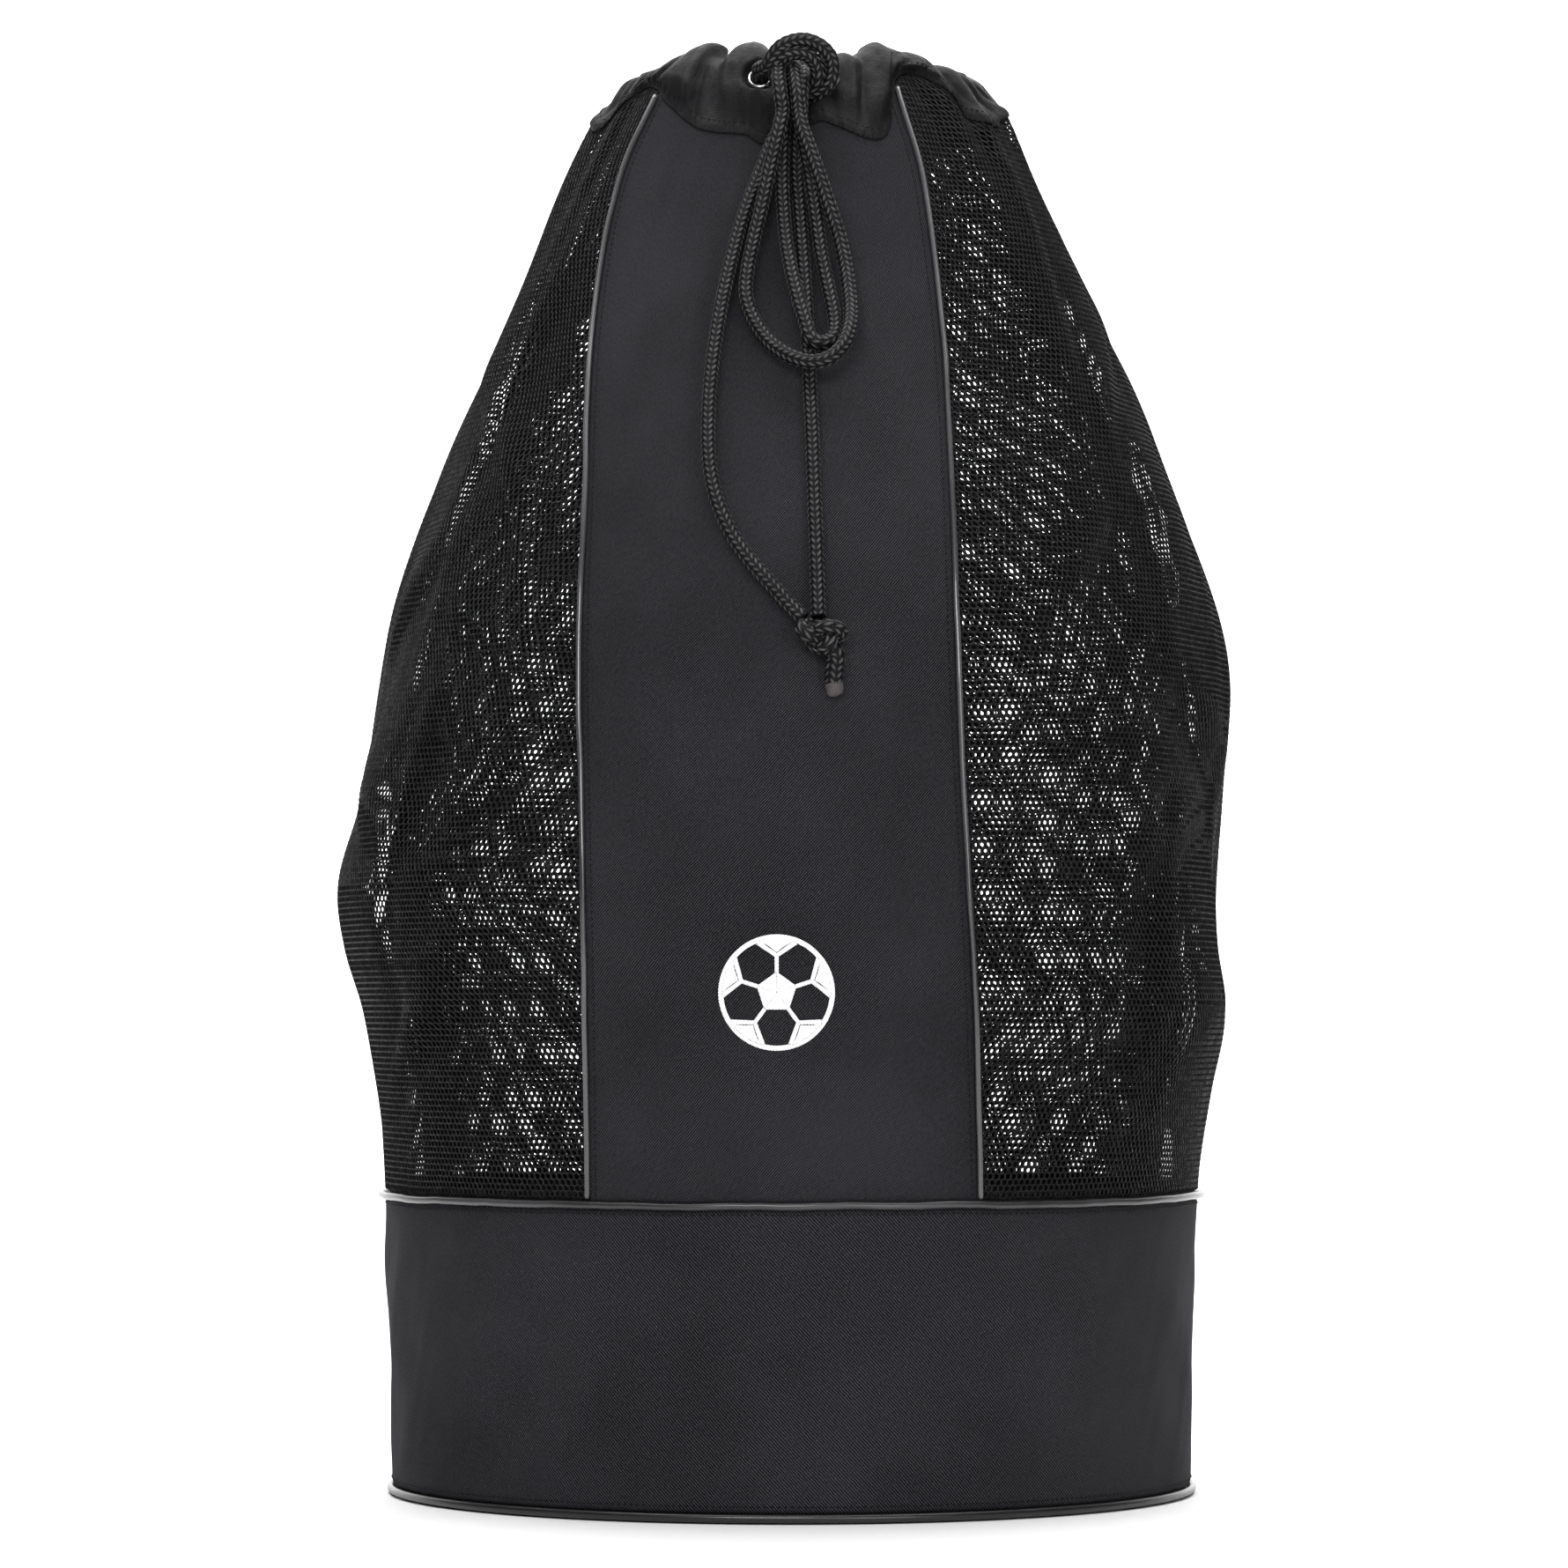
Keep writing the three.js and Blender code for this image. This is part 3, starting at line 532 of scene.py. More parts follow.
class Finish:
    """One material and short calls for its nodes."""

    def __init__(self, name, colour, roughness, **plain):
        self.material = bpy.data.materials.new(name)
        self.material.use_nodes = True
        self.tree = self.material.node_tree
        self.shader = self.tree.nodes["Principled BSDF"]
        self.shader.inputs["Base Color"].default_value = (*colour, 1.0)
        self.shader.inputs["Roughness"].default_value = roughness
        for socket, value in plain.items():
            self.shader.inputs[socket.replace("_", " ")].default_value = value

    def node(self, kind, settings=None, **inputs):
        return add_node(self.tree, "ShaderNode" + kind, settings, **inputs)

    def maths(self, kind, a, b=0.0):
        return self.node("Math", {"operation": kind}, i0=a, i1=b).outputs[0]

    def weighed(self, *pairs):
        """Adds up numbers, each with its share."""
        total, *others = (self.maths("MULTIPLY", number, share) for number, share in pairs)
        for number in others:
            total = self.maths("ADD", total, number)
        return total

    def object_place(self, scale=(1, 1, 1), turn=(0, 0, 0)):
        place = self.node("TexCoord").outputs["Object"]
        return self.node("Mapping", Vector=place, Scale=scale, Rotation=turn).outputs[0]

    def cloth_place(self, scale=(1, 1, 1), turn=(0, 0, 0)):
        place = self.node("UVMap", {"uv_map": "cloth"}).outputs[0]
        return self.node("Mapping", Vector=place, Scale=scale, Rotation=turn).outputs[0]

    def bands(self, place, period, direction="X"):
        """Waves this far apart, from 0 to 1."""
        scale = 2 * math.pi / (20 * period)
        settings = {"wave_type": "BANDS", "bands_direction": direction, "wave_profile": "SIN"}
        return self.node("TexWave", settings, Vector=place, Scale=scale).outputs["Fac"]

    def noise(self, place, scale, detail=3.0, roughness=0.5):
        made = self.node("TexNoise", Vector=place, Scale=scale, Detail=detail, Roughness=roughness)
        return made.outputs["Fac"]

    def between(self, factor, low, high):
        """A number from low to high as the factor goes from 0 to 1."""
        return self.node("MapRange", i0=factor, i3=low, i4=high).outputs[0]

    def colours(self, factor, stops):
        ramp = self.node("ValToRGB", Fac=factor)
        elements = ramp.color_ramp.elements
        while len(elements) < len(stops):
            elements.new(0.5)
        for element, (place, colour) in zip(elements, stops):
            element.position = place
            element.color = (*colour, 1.0)
        return ramp.outputs[0]

    def bump(self, height, depth):
        made = self.node("Bump", Height=height, Distance=depth, Strength=1.0)
        feed(self.tree, made.outputs[0], self.shader.inputs["Normal"])

    def set(self, **sockets):
        for socket, value in sockets.items():
            feed(self.tree, value, self.shader.inputs[socket.replace("_", " ")])
        return self.material


def shade(colour, share):
    return tuple(c * share for c in colour)


def woven_finish(name, colour, roughness, thread, slant):
    """Woven cloth: slanting threads with the weave's relief painted into the colour as shade and highlight,
    a little unevenness and soft patches.
    """
    made = Finish(name, colour, roughness, Specular_IOR_Level=0.05)
    place = made.cloth_place(turn=(0, 0, slant))
    twill = made.bands(place, thread, "X")
    weft = made.bands(place, thread * 0.62, "Y")
    weave = made.weighed((twill, 0.65), (weft, 0.35))
    patches = made.noise(made.object_place(), 7.0, 4.0, 0.6)
    fine = made.noise(made.cloth_place(scale=(1.0, 0.6, 1.0), turn=(0, 0, slant)), 760.0, 1.0, 0.5)
    # The weave's share of the tone paints shade where the threads lie low and a highlight where they stand
    # up; the soft patches and the fine noise are the cloth's random unevenness.
    tone = made.weighed((patches, PATCHY), (weave, 0.62), (fine, 0.30))
    dark, pale = shade(colour, 0.08), shade(colour, 4.4)
    made.set(
        Base_Color=made.colours(tone, [(0.32, dark), (0.58, colour), (0.86, pale)]),
        Roughness=made.between(fine, roughness - 0.06, roughness + 0.08),
    )
    made.bump(weave, WEAVE_DEPTH)
    return made.material


def nylon_finish(colour):
    """Thin glossy nylon: a fine grid of threads, and crumples that catch highlights through the bump and the
    roughness and are painted into the colour as shade in their hollows and highlight on their tops.
    """
    made = Finish("casing_nylon", colour, 0.38, Specular_IOR_Level=0.09)
    warp = made.bands(made.cloth_place(), 0.0009, "X")
    weft = made.bands(made.cloth_place(), 0.0009, "Y")
    grid = made.maths("MULTIPLY", warp, weft)
    crumple = made.noise(made.object_place(scale=(1.0, 1.0, 0.7)), 42.0, 5.0, 0.6)
    patches = made.noise(made.object_place(), 11.0, 2.0)
    # The crumples' share of the tone paints shade in their hollows and a highlight on their tops; the
    # patches are random tone.
    tone = made.weighed((crumple, 0.5), (patches, 0.5))
    made.set(
        Base_Color=made.colours(tone, [(0.3, shade(colour, 0.6)), (0.7, shade(colour, 1.45))]),
        Roughness=made.between(crumple, 0.33, 0.52),
    )
    height = made.maths("ADD", made.maths("MULTIPLY", grid, 0.06), crumple)
    made.bump(height, 0.0034)
    return made.material


def braid_finish(colour):
    """Braided cord: plait tops painted pale as a highlight over gaps painted dark as shade, worn unevenly,
    with fine threads along them.
    """
    made = Finish("cord_braid", colour, 0.45, Specular_IOR_Level=0.15)
    plait = made.node("Attribute", {"attribute_name": "plait"}).outputs["Fac"]
    threads = made.noise(made.cloth_place(scale=(60, 2600, 1)), 1.0, 2.0, 0.6)
    worn = made.noise(made.object_place(), 150.0, 3.0)
    # The plait height paints shade into the gaps and a highlight onto the plait tops; the worn noise varies
    # it at random.
    tone = made.maths("MULTIPLY", plait, made.between(worn, 0.72, 1.12))
    dark, pale = shade(colour, 0.05), shade(colour, 10.0)
    made.set(
        Base_Color=made.colours(tone, [(0.35, dark), (0.62, colour), (0.95, pale)]),
        Roughness=made.between(threads, 0.48, 0.72),
    )
    made.bump(threads, 0.00016)
    return made.material


def yarn_finish(name, colour, roughness):
    """One shade of the net's yarn; the net mixes two of them strand by strand."""
    return Finish(name, colour, roughness, Specular_IOR_Level=0.15).material


def bead_finish(name, colour, shine, dark_share):
    """A sewn-in bead under a clear glossy film, with lighter patches painted in as the film's reflection and
    darker ones between.
    """
    made = Finish(name, colour, 0.35, Coat_Weight=shine, Coat_Roughness=0.12, Specular_IOR_Level=0.4)
    along_it = made.noise(made.object_place(scale=(1, 1, 0.45)), 9.0, 3.0, 0.6)
    grain = made.noise(made.object_place(), 900.0, 2.0)
    # The patches paint the bead lighter as painted reflection of its film and darker between; the grain is
    # random tone.
    tone = made.weighed((along_it, 0.85), (grain, 0.15))
    made.set(
        Base_Color=made.colours(tone, [(0.40, shade(colour, dark_share)), (0.62, colour)]),
        Roughness=made.between(grain, 0.25, 0.45),
    )
    made.bump(grain, 0.00008)
    return made.material


def tape_finish(colour):
    made = Finish("binding_tape", colour, 0.75, Sheen_Weight=0.3)
    ribs = made.bands(made.cloth_place(), 0.0011, "Y")
    grain = made.noise(made.object_place(), 500.0, 2.0)
    # The ribs paint shade in their hollows and a highlight on their tops; the grain is random tone.
    tone = made.weighed((ribs, 0.7), (grain, 0.3))
    made.set(Base_Color=made.colours(tone, [(0.1, shade(colour, 0.6)), (0.9, shade(colour, 1.5))]))
    made.bump(ribs, 0.0003)
    return made.material


def nickel_finish():
    made = Finish("polished_nickel", (0.78, 0.77, 0.75), 0.2, Metallic=1.0)
    rubbed = made.noise(made.object_place(), 260.0, 4.0, 0.7)
    made.set(
        Base_Color=made.colours(rubbed, [(0.3, (0.55, 0.54, 0.52)), (0.7, (0.82, 0.81, 0.79))]),
        Roughness=made.between(rubbed, 0.14, 0.32),
    )
    made.bump(rubbed, 0.00004)
    return made.material


def melted_finish(colour):
    """The cord's end, melted hard: milky where it has set, dark where it has charred."""
    made = Finish("melted_tip", colour, 0.35, Coat_Weight=0.4, Coat_Roughness=0.2)
    blobs = made.noise(made.object_place(), 230.0, 3.0, 0.6)
    made.set(
        Base_Color=made.colours(
            blobs, [(0.36, shade(colour, 0.35)), (0.55, colour), (0.72, (0.13, 0.145, 0.17))]),
        Roughness=made.between(blobs, 0.28, 0.55),
    )
    made.bump(blobs, 0.0012)
    return made.material


def print_finish():
    """Heat-pressed white film that takes on the weave under it, with fine cracks."""
    made = Finish("white_film", (0.82, 0.82, 0.83), 0.5, Specular_IOR_Level=0.4)
    weave = made.bands(made.object_place(turn=(0, 0.8, 0)), 0.0013, "X")
    cracks = made.noise(made.object_place(), 700.0, 5.0, 0.75)
    made.set(
        Base_Color=made.colours(cracks, [(0.28, (0.42, 0.42, 0.43)), (0.4, (0.80, 0.80, 0.81)),
                                         (0.8, (0.88, 0.88, 0.88))]),
        Roughness=made.between(cracks, 0.55, 0.42),
    )
    made.bump(made.maths("ADD", weave, cracks), 0.00025)
    return made.material


def thread_finish(colour):
    made = Finish("black_thread", colour, 0.6, Specular_IOR_Level=0.1)
    twist = made.noise(made.object_place(), 1800.0, 2.0)
    made.set(Base_Color=made.colours(twist, [(0.3, shade(colour, 0.6)), (0.7, shade(colour, 1.5))]))
    return made.material


def floor_finish():
    made = Finish("pale_floor", (0.86, 0.86, 0.86), 0.7)
    cloudy = made.noise(made.object_place(), 0.8, 2.0)
    made.set(Base_Color=made.colours(cloudy, [(0.2, (0.84, 0.84, 0.845)), (0.8, (0.87, 0.87, 0.87))]))
    # The sweep's rear lets the light through, so that the bag can be seen from behind it too.
    rear = made.node("NewGeometry").outputs["Backfacing"]
    clear = made.node("BsdfTransparent").outputs[0]
    mixed = made.node("MixShader", i0=rear, i1=made.shader.outputs[0], i2=clear).outputs[0]
    made.tree.links.new(mixed, made.tree.nodes["Material Output"].inputs["Surface"])
    return made.material


def finish_named(name):
    """The finish with this name, made the first time that it is asked for."""
    colours = bpy.context.scene.bag_colours
    makers = {
        "panel_cloth": lambda: woven_finish(
            "panel_cloth", tuple(colours.panel), 0.78, 0.00128, 0.72),
        "band_cloth": lambda: woven_finish(
            "band_cloth", tuple(colours.band), 0.74, 0.0015, -0.75),
        "casing_nylon": lambda: nylon_finish(tuple(colours.casing)),
        "cord_braid": lambda: braid_finish(tuple(colours.cord)),
        "yarn_dark": lambda: yarn_finish("yarn_dark", shade(colours.net, 0.75), 0.62),
        "yarn_light": lambda: yarn_finish("yarn_light", shade(colours.net, 1.45), 0.5),
        "reflective_bead": lambda: bead_finish("reflective_bead", tuple(colours.bead), 1.0, 0.2),
        "rim_bead": lambda: bead_finish("rim_bead", shade(colours.bead, 0.6), 0.3, 0.2),
        "black_bead": lambda: bead_finish("black_bead", (0.008, 0.008, 0.009), 0.2, 0.5),
        "binding_tape": lambda: tape_finish(tuple(colours.tape)),
        "polished_nickel": nickel_finish,
        "melted_tip": lambda: melted_finish((0.020, 0.021, 0.025)),
        "white_film": print_finish,
        "black_thread": lambda: thread_finish((0.004, 0.004, 0.0045)),
        "pale_floor": floor_finish,
    }
    return bpy.data.materials.get(name) or makers[name]()


# ---- Geometry Nodes


def geometry_tree(name, inputs):
    """An empty geometry tree with these named inputs: (label, kind of socket, default)."""
    tree = bpy.data.node_groups.new(name, "GeometryNodeTree")
    tree.interface.new_socket("Geometry", in_out="INPUT", socket_type="NodeSocketGeometry")
    tree.interface.new_socket("Geometry", in_out="OUTPUT", socket_type="NodeSocketGeometry")
    for label, kind, default in inputs:
        socket = tree.interface.new_socket(label, in_out="INPUT", socket_type="NodeSocket" + kind)
        if default is not None:
            socket.default_value = default
    return tree, tree.nodes.new("NodeGroupInput"), tree.nodes.new("NodeGroupOutput")


def net_tree():
    """Turns a sheet of triangles into six-sided meshes of yarn, in two shades picked at random."""
    if found := bpy.data.node_groups.get("knitted_net"):
        return found
    tree, given, result = geometry_tree("knitted_net", [
        ("Yarn Radius", "Float", 0.0005), ("Yarn Sides", "Int", 3), ("Pale Share", "Float", 0.4),
        ("Dark Yarn", "Material", None), ("Pale Yarn", "Material", None),
    ])
    cells = add_node(tree, "GeometryNodeDualMesh", Mesh=given.outputs["Geometry"])
    strands = add_node(tree, "GeometryNodeMeshToCurve", Mesh=cells.outputs[0])
    pick = add_node(
        tree, "FunctionNodeRandomValue", {"data_type": "BOOLEAN"},
        Probability=given.outputs["Pale Share"], Seed=7)
    marked = add_node(
        tree, "GeometryNodeStoreNamedAttribute", {"data_type": "BOOLEAN", "domain": "CURVE"},
        Geometry=strands.outputs[0], Name="pale", Value=pick.outputs[3])
    ring = add_node(
        tree, "GeometryNodeCurvePrimitiveCircle",
        Resolution=given.outputs["Yarn Sides"], Radius=given.outputs["Yarn Radius"])
    yarn = add_node(
        tree, "GeometryNodeCurveToMesh",
        Curve=marked.outputs[0], Profile_Curve=ring.outputs[0])
    real = add_node(tree, "GeometryNodeRealizeInstances", Geometry=yarn.outputs[0])
    dark = add_node(
        tree, "GeometryNodeSetMaterial", Geometry=real.outputs[0], Material=given.outputs["Dark Yarn"])
    is_pale = add_node(
        tree, "GeometryNodeInputNamedAttribute", {"data_type": "BOOLEAN"}, Name="pale")
    pale = add_node(
        tree, "GeometryNodeSetMaterial", Geometry=dark.outputs[0],
        Selection=is_pale.outputs["Attribute"], Material=given.outputs["Pale Yarn"])
    tree.links.new(pale.outputs[0], result.inputs[0])
    return tree


def stitch_tree():
    """Lays short stitches of thread along a line."""
    if found := bpy.data.node_groups.get("stitch_row"):
        return found
    tree, given, result = geometry_tree("stitch_row", [
        ("Stitch Length", "Float", 0.003), ("Stitch Gap", "Float", 0.001),
        ("Thread Radius", "Float", 0.0004), ("Thread", "Material", None),
    ])
    line = add_node(tree, "GeometryNodeMeshToCurve", Mesh=given.outputs["Geometry"])
    step = add_node(
        tree, "ShaderNodeMath", {"operation": "ADD"},
        i0=given.outputs["Stitch Length"], i1=given.outputs["Stitch Gap"])
    places = add_node(
        tree, "GeometryNodeResampleCurve", {"mode": "LENGTH"},
        Curve=line.outputs[0], Length=step.outputs[0])
    half = add_node(
        tree, "ShaderNodeMath", {"operation": "MULTIPLY"}, i0=given.outputs["Stitch Length"], i1=0.5)
    size = add_node(
        tree, "ShaderNodeCombineXYZ",
        X=half.outputs[0], Y=given.outputs["Thread Radius"], Z=given.outputs["Thread Radius"])
    bead = add_node(tree, "GeometryNodeMeshIcoSphere", Radius=1.0, Subdivisions=1)
    stitch = add_node(
        tree, "GeometryNodeTransform", Geometry=bead.outputs[0], Scale=size.outputs[0])
    ahead = add_node(tree, "GeometryNodeInputTangent")
    turn = add_node(
        tree, "FunctionNodeAlignRotationToVector", {"axis": "X"}, Vector=ahead.outputs[0])
    row = add_node(
        tree, "GeometryNodeInstanceOnPoints", Points=places.outputs[0], Instance=stitch.outputs[0],
        Rotation=turn.outputs[0])
    real = add_node(tree, "GeometryNodeRealizeInstances", Geometry=row.outputs[0])
    done = add_node(
        tree, "GeometryNodeSetMaterial", Geometry=real.outputs[0], Material=given.outputs["Thread"])
    tree.links.new(done.outputs[0], result.inputs[0])
    return tree


def grow(obj, tree, **values):
    """Runs a geometry tree on an object, with its named inputs set, and keeps the result as a mesh."""
    modifier = obj.modifiers.new(tree.name, "NODES")
    modifier.node_group = tree
    for item in tree.interface.items_tree:
        key = item.name.replace(" ", "_")
        if item.in_out == "INPUT" and key in values:
            modifier[item.identifier] = values[key]
    return plain_mesh(obj)


def stitch_rows(name, lines, closed, length, gap, radius):
    """Rows of stitches along lines of points, as one piece."""
    points, edges = [], []
    for line in lines:
        start = len(points)
        points.extend(np.asarray(line, float).tolist())
        edges.extend((i, i + 1) for i in range(start, len(points) - 1))
        if closed:
            edges.append((len(points) - 1, start))
    mesh = bpy.data.meshes.new(name)
    mesh.from_pydata(points, edges, [])
    obj = bpy.data.objects.new(name, mesh)
    bpy.context.scene.collection.objects.link(obj)
    grow(
        obj, stitch_tree(), Stitch_Length=length, Stitch_Gap=gap, Thread_Radius=radius,
        Thread=finish_named("black_thread"))
    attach(obj, "bag")


# ---- Cords and knots

PLAIT_COLUMNS = 8
BRAID_SIDES = 40
BRAID_STEP = 0.0009
TIP_LENGTH = 0.0083
WRAP_RADIUS = 0.0047
JOIN_HEIGHT = 0.835  # the loops start here, below the hinge of the tails


# Where each strand of the loops comes out of the slip knot: its left one, then its right one.
LARGE_TOPS = (
    [(-0.006, -0.12, 0.88), (-0.0075, -0.131, 0.8765), (-0.0078, -0.141, 0.868), (-0.0068, -0.1475, 0.858)],
    [(0.001, -0.12, 0.88), (0.0015, -0.131, 0.8765), (0.0025, -0.141, 0.868), (0.0036, -0.1475, 0.858)],
)
SMALL_TOPS = (
    [(-0.0035, -0.113, 0.877), (-0.0045, -0.122, 0.875), (-0.0048, -0.131, 0.868), (-0.0044, -0.137, 0.858)],
    [(0.007, -0.113, 0.877), (0.0068, -0.122, 0.875), (0.0065, -0.131, 0.868), (0.006, -0.137, 0.858)],
)


def braid_height(around, run):
    """How far the braid's plaits stand up: slanting plaits in columns, mirrored from one to the next."""
    pitch = bpy.context.scene.bag_sizes.plait_length
    column = np.floor(around * PLAIT_COLUMNS + 1e-6)
    beside = around * PLAIT_COLUMNS - column - 0.5
    lean = np.where(column % 2 == 0, 1.0, -1.0)
    ahead = (run / pitch + lean * beside * 0.85) % 1.0 - 0.5
    rounded = (1 - np.abs(2 * ahead) ** 2.4) * (1 - 0.75 * np.abs(2 * beside) ** 3)
    return bpy.context.scene.bag_sizes.plait_depth * np.clip(rounded, 0, 1)


def braided(name, points, body=None, radius=CORD_RADIUS, closed=False, sides=BRAID_SIDES):
    depth = bpy.context.scene.bag_sizes.plait_depth
    obj = tube_mesh(
        name, points, radius - 0.75 * depth, sides, finish_named("cord_braid"), closed, braid_height)
    if body:
        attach(obj, body)
    return obj


def make_end_knot():
    """The tails' overhand knot, the short end below it and its melted tip."""
    centre = over_panel((0.017, 0.519, 0.013))
    t = all_round(190) + 0.6
    across = 0.0040 * (np.sin(t) + 2 * np.sin(2 * t))
    tall = 0.0023 * (np.cos(t) - 2 * np.cos(2 * t)) + 0.0011
    deep = 0.0046 * np.sin(3 * t)
    path = centre + np.stack([across + 0.1 * tall, deep, tall - 0.12 * across], -1)
    knot = braided("end_knot_wrap", path, "tails", radius=0.0046, closed=True)
    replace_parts(knot, "end_knot")
    top = over_panel((0.0255, 0.5082, 0.0095))
    lean = np.array([-0.0006, 0.0, 0.0])
    hang = [
        top + (-0.004, -0.001, 0.006), top, top + lean + (0, 0, -0.008), top + 2 * lean + (0, 0, -0.0165)]
    stub = braided("end_stub_cord", smooth_route(hang, BRAID_STEP), "tails", radius=0.0055)
    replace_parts(stub, "end_stub")
    low = top + 2 * lean + (0, 0, -0.0160)
    share = np.linspace(0, 1, 22)
    fat = 0.0053 * np.sqrt(np.clip(1 - ((share - 0.25) / 0.78) ** 2, 0, 1)) + 0.0001
    line = low + np.stack([0.0004 * np.sin(5 * share), 0 * share, -TIP_LENGTH * share], -1)

    def lumps(around, run):
        return 0.0004 * wander(around * 2 * math.pi, run * 900, 1.3) * np.sin(math.pi * run / TIP_LENGTH)

    tip = tube_mesh("sealed_tip_melt", line, fat, 32, finish_named("melted_tip"), height=lumps)
    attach(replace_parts(tip, "sealed_tip"), "tails")
    return [knot, stub, tip]


def make_cords():
    """The two tails and the two loops, each from inside the slip knot; each loop is cut at its start into
    its hanging part and its two tops.
    """
    ends = make_end_knot()
    left_top = [(-0.0015, -0.1130, 0.8730), (-0.0025, -0.1205, 0.8680), (-0.0040, -0.1265, 0.8580)]
    right_top = [(0.0060, -0.1130, 0.8730), (0.0055, -0.1205, 0.8680), (0.0050, -0.1265, 0.8580)]
    for name, route, top, length, with_pieces in (
        ("tail_left", TAIL_LEFT, left_top, 0.402, ends), ("tail_right", TAIL_RIGHT, right_top, 0.379, []),
    ):
        path = smooth_route(top + [over_panel(p) for p in route], BRAID_STEP)
        cord = braided(name + "_cord", path)
        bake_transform(cord)
        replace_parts(cord, name)
    tops = []
    for name, route, left, right, length in (
        ("loop_large", LOOP_LARGE, *LARGE_TOPS, 0.366), ("loop_small", LOOP_SMALL, *SMALL_TOPS, 0.318),
    ):
        path = smooth_route(left + [over_panel(p) for p in route] + right[::-1], BRAID_STEP)
        low = np.nonzero(path[:, 2] < JOIN_HEIGHT)[0]
        first, last = low[0], low[-1]
        whole = braided(name + "_whole", path)
        loop = rows_of(whole, name + "_cord", len(path), first, last)
        tops.append(rows_of(whole, name + "_left_top", len(path), 0, first))
        tops.append(rows_of(whole, name + "_right_top", len(path), last, len(path) - 1))
        bpy.data.objects.remove(whole)
        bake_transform(loop)
        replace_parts(loop, name)
    for top in tops:
        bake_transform(top)


def rows_of(tube, name, rows, first, last):
    """A new piece from a stretch of a tube's rings, closed at both ends."""
    co = np.zeros(len(tube.data.vertices) * 3)
    tube.data.vertices.foreach_get("co", co)
    plait = np.zeros(len(tube.data.vertices), np.float32)
    tube.data.attributes["plait"].data.foreach_get("value", plait)
    sides = len(co) // 3 // rows
    shape = co.reshape(rows, sides, 3)[first:last + 1]
    faces = grid_faces(len(shape), sides, True).tolist()
    faces.append(list(range(sides))[::-1])
    faces.append(list(range((len(shape) - 1) * sides, len(shape) * sides)))
    obj = new_piece(name, shape, faces, tube.data.materials[0])
    u, v = np.meshgrid(np.arange(sides) / sides, np.arange(first, last + 1) * BRAID_STEP)
    set_uv(obj, u, v, 1.0)
    set_value(obj, "plait", plait.reshape(rows, sides)[first:last + 1])
    return obj


def eyelet_place(node):
    """An eyelet's middle and the way it faces, from its ring in the frame."""
    points = np.array([v.co for v in frame["nodes"][node].data.vertices])
    middle = points.mean(0)
    normal = np.linalg.svd(points - middle, full_matrices=False)[2][2]
    if normal[1] > 0:
        normal = -normal
    return middle, normal


def make_slip_knot():
    """The cord's wrap: out of the left eyelet, over the top of the strands and round behind them."""
    left, left_out = eyelet_place("left_eyelet")
    right, right_out = eyelet_place("right_eyelet")
    route = [
        left + 0.0015 * left_out, left + 0.006 * left_out, (-0.0195, -0.1165, 0.8785),
        (-0.0150, -0.1250, 0.8790), (-0.0118, -0.1310, 0.8835), (-0.0065, -0.1345, 0.8893),
        (0.0010, -0.1360, 0.8925), (0.0090, -0.1360, 0.8930), (0.0178, -0.1345, 0.8895),
        (0.0236, -0.1325, 0.8830), (0.0248, -0.1310, 0.8750), (0.0225, -0.1290, 0.8675),
        (0.0160, -0.1240, 0.8620), (0.0085, -0.1160, 0.8620), (0.0045, -0.1130, 0.8650),
        (0.0085, -0.1095, 0.8700), (0.0150, -0.1110, 0.8740), right + 0.006 * right_out,
        right + 0.0015 * right_out,
    ]
    turn = [
        (-0.0080, -0.1180, 0.8690), (-0.0098, -0.1265, 0.8750), (-0.0060, -0.1330, 0.8825),
        (0.0020, -0.1355, 0.8855), (0.0100, -0.1350, 0.8840), (0.0152, -0.1330, 0.8780),
        (0.0160, -0.1310, 0.8705), (0.0130, -0.1265, 0.8655), (0.0080, -0.1190, 0.8650),
    ]
    for name, line in (("slip_knot_wrap", route), ("slip_knot_turn", turn)):
        wrap = braided(name, smooth_route(line, BRAID_STEP), radius=WRAP_RADIUS)
        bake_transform(wrap)
        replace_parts(wrap, "slip_knot")


def make_channel_cord():
    """The cord's length inside the casing, from one eyelet round the back to the other."""
    left, left_out = eyelet_place("left_eyelet")
    right, right_out = eyelet_place("right_eyelet")
    angles = np.arange(-0.375, -2 * math.pi + 0.375, -0.16)
    height = 0.8635 - HEM_WAVE * np.cos(2 * angles)
    height = height + 0.42 * (RIM - height)
    round_it = bag_point(angles, height, -CHANNEL_DEPTH / 2)
    enter, leave = (
        [place + depth * out for depth in (0.0012, -0.0018, -0.0052)]
        for place, out in ((left, left_out), (right, right_out)))
    route = [*enter, *round_it, *leave[::-1]]
    cord = braided("channel_cord", smooth_route(route, 0.0016), "bag", sides=24)
    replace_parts(cord, "casing_cord")


# ---- Base

BASE_RADIUS = 0.2465
BASE_THICKNESS = 0.0012
BAND_THICKNESS = 0.0022
TAPE_THICKNESS = 0.001


def bead_hoop(name, z, off, radius, material, node):
    """A sewn-in bead right round the bag."""
    line = cloth_point(all_round(420), z, off)
    obj = tube_mesh(name, line, radius, 14, finish_named(material), closed=True)
    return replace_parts(obj, node)


def tape_hoop(name, low, high, off, node):
    angles, heights = np.meshgrid(all_round(160), np.linspace(low, high, 5))
    obj = cloth_sheet(name, angles, heights, finish_named("binding_tape"), off, closed=True)
    thicken(obj, TAPE_THICKNESS)
    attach(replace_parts(obj, node), "bag")


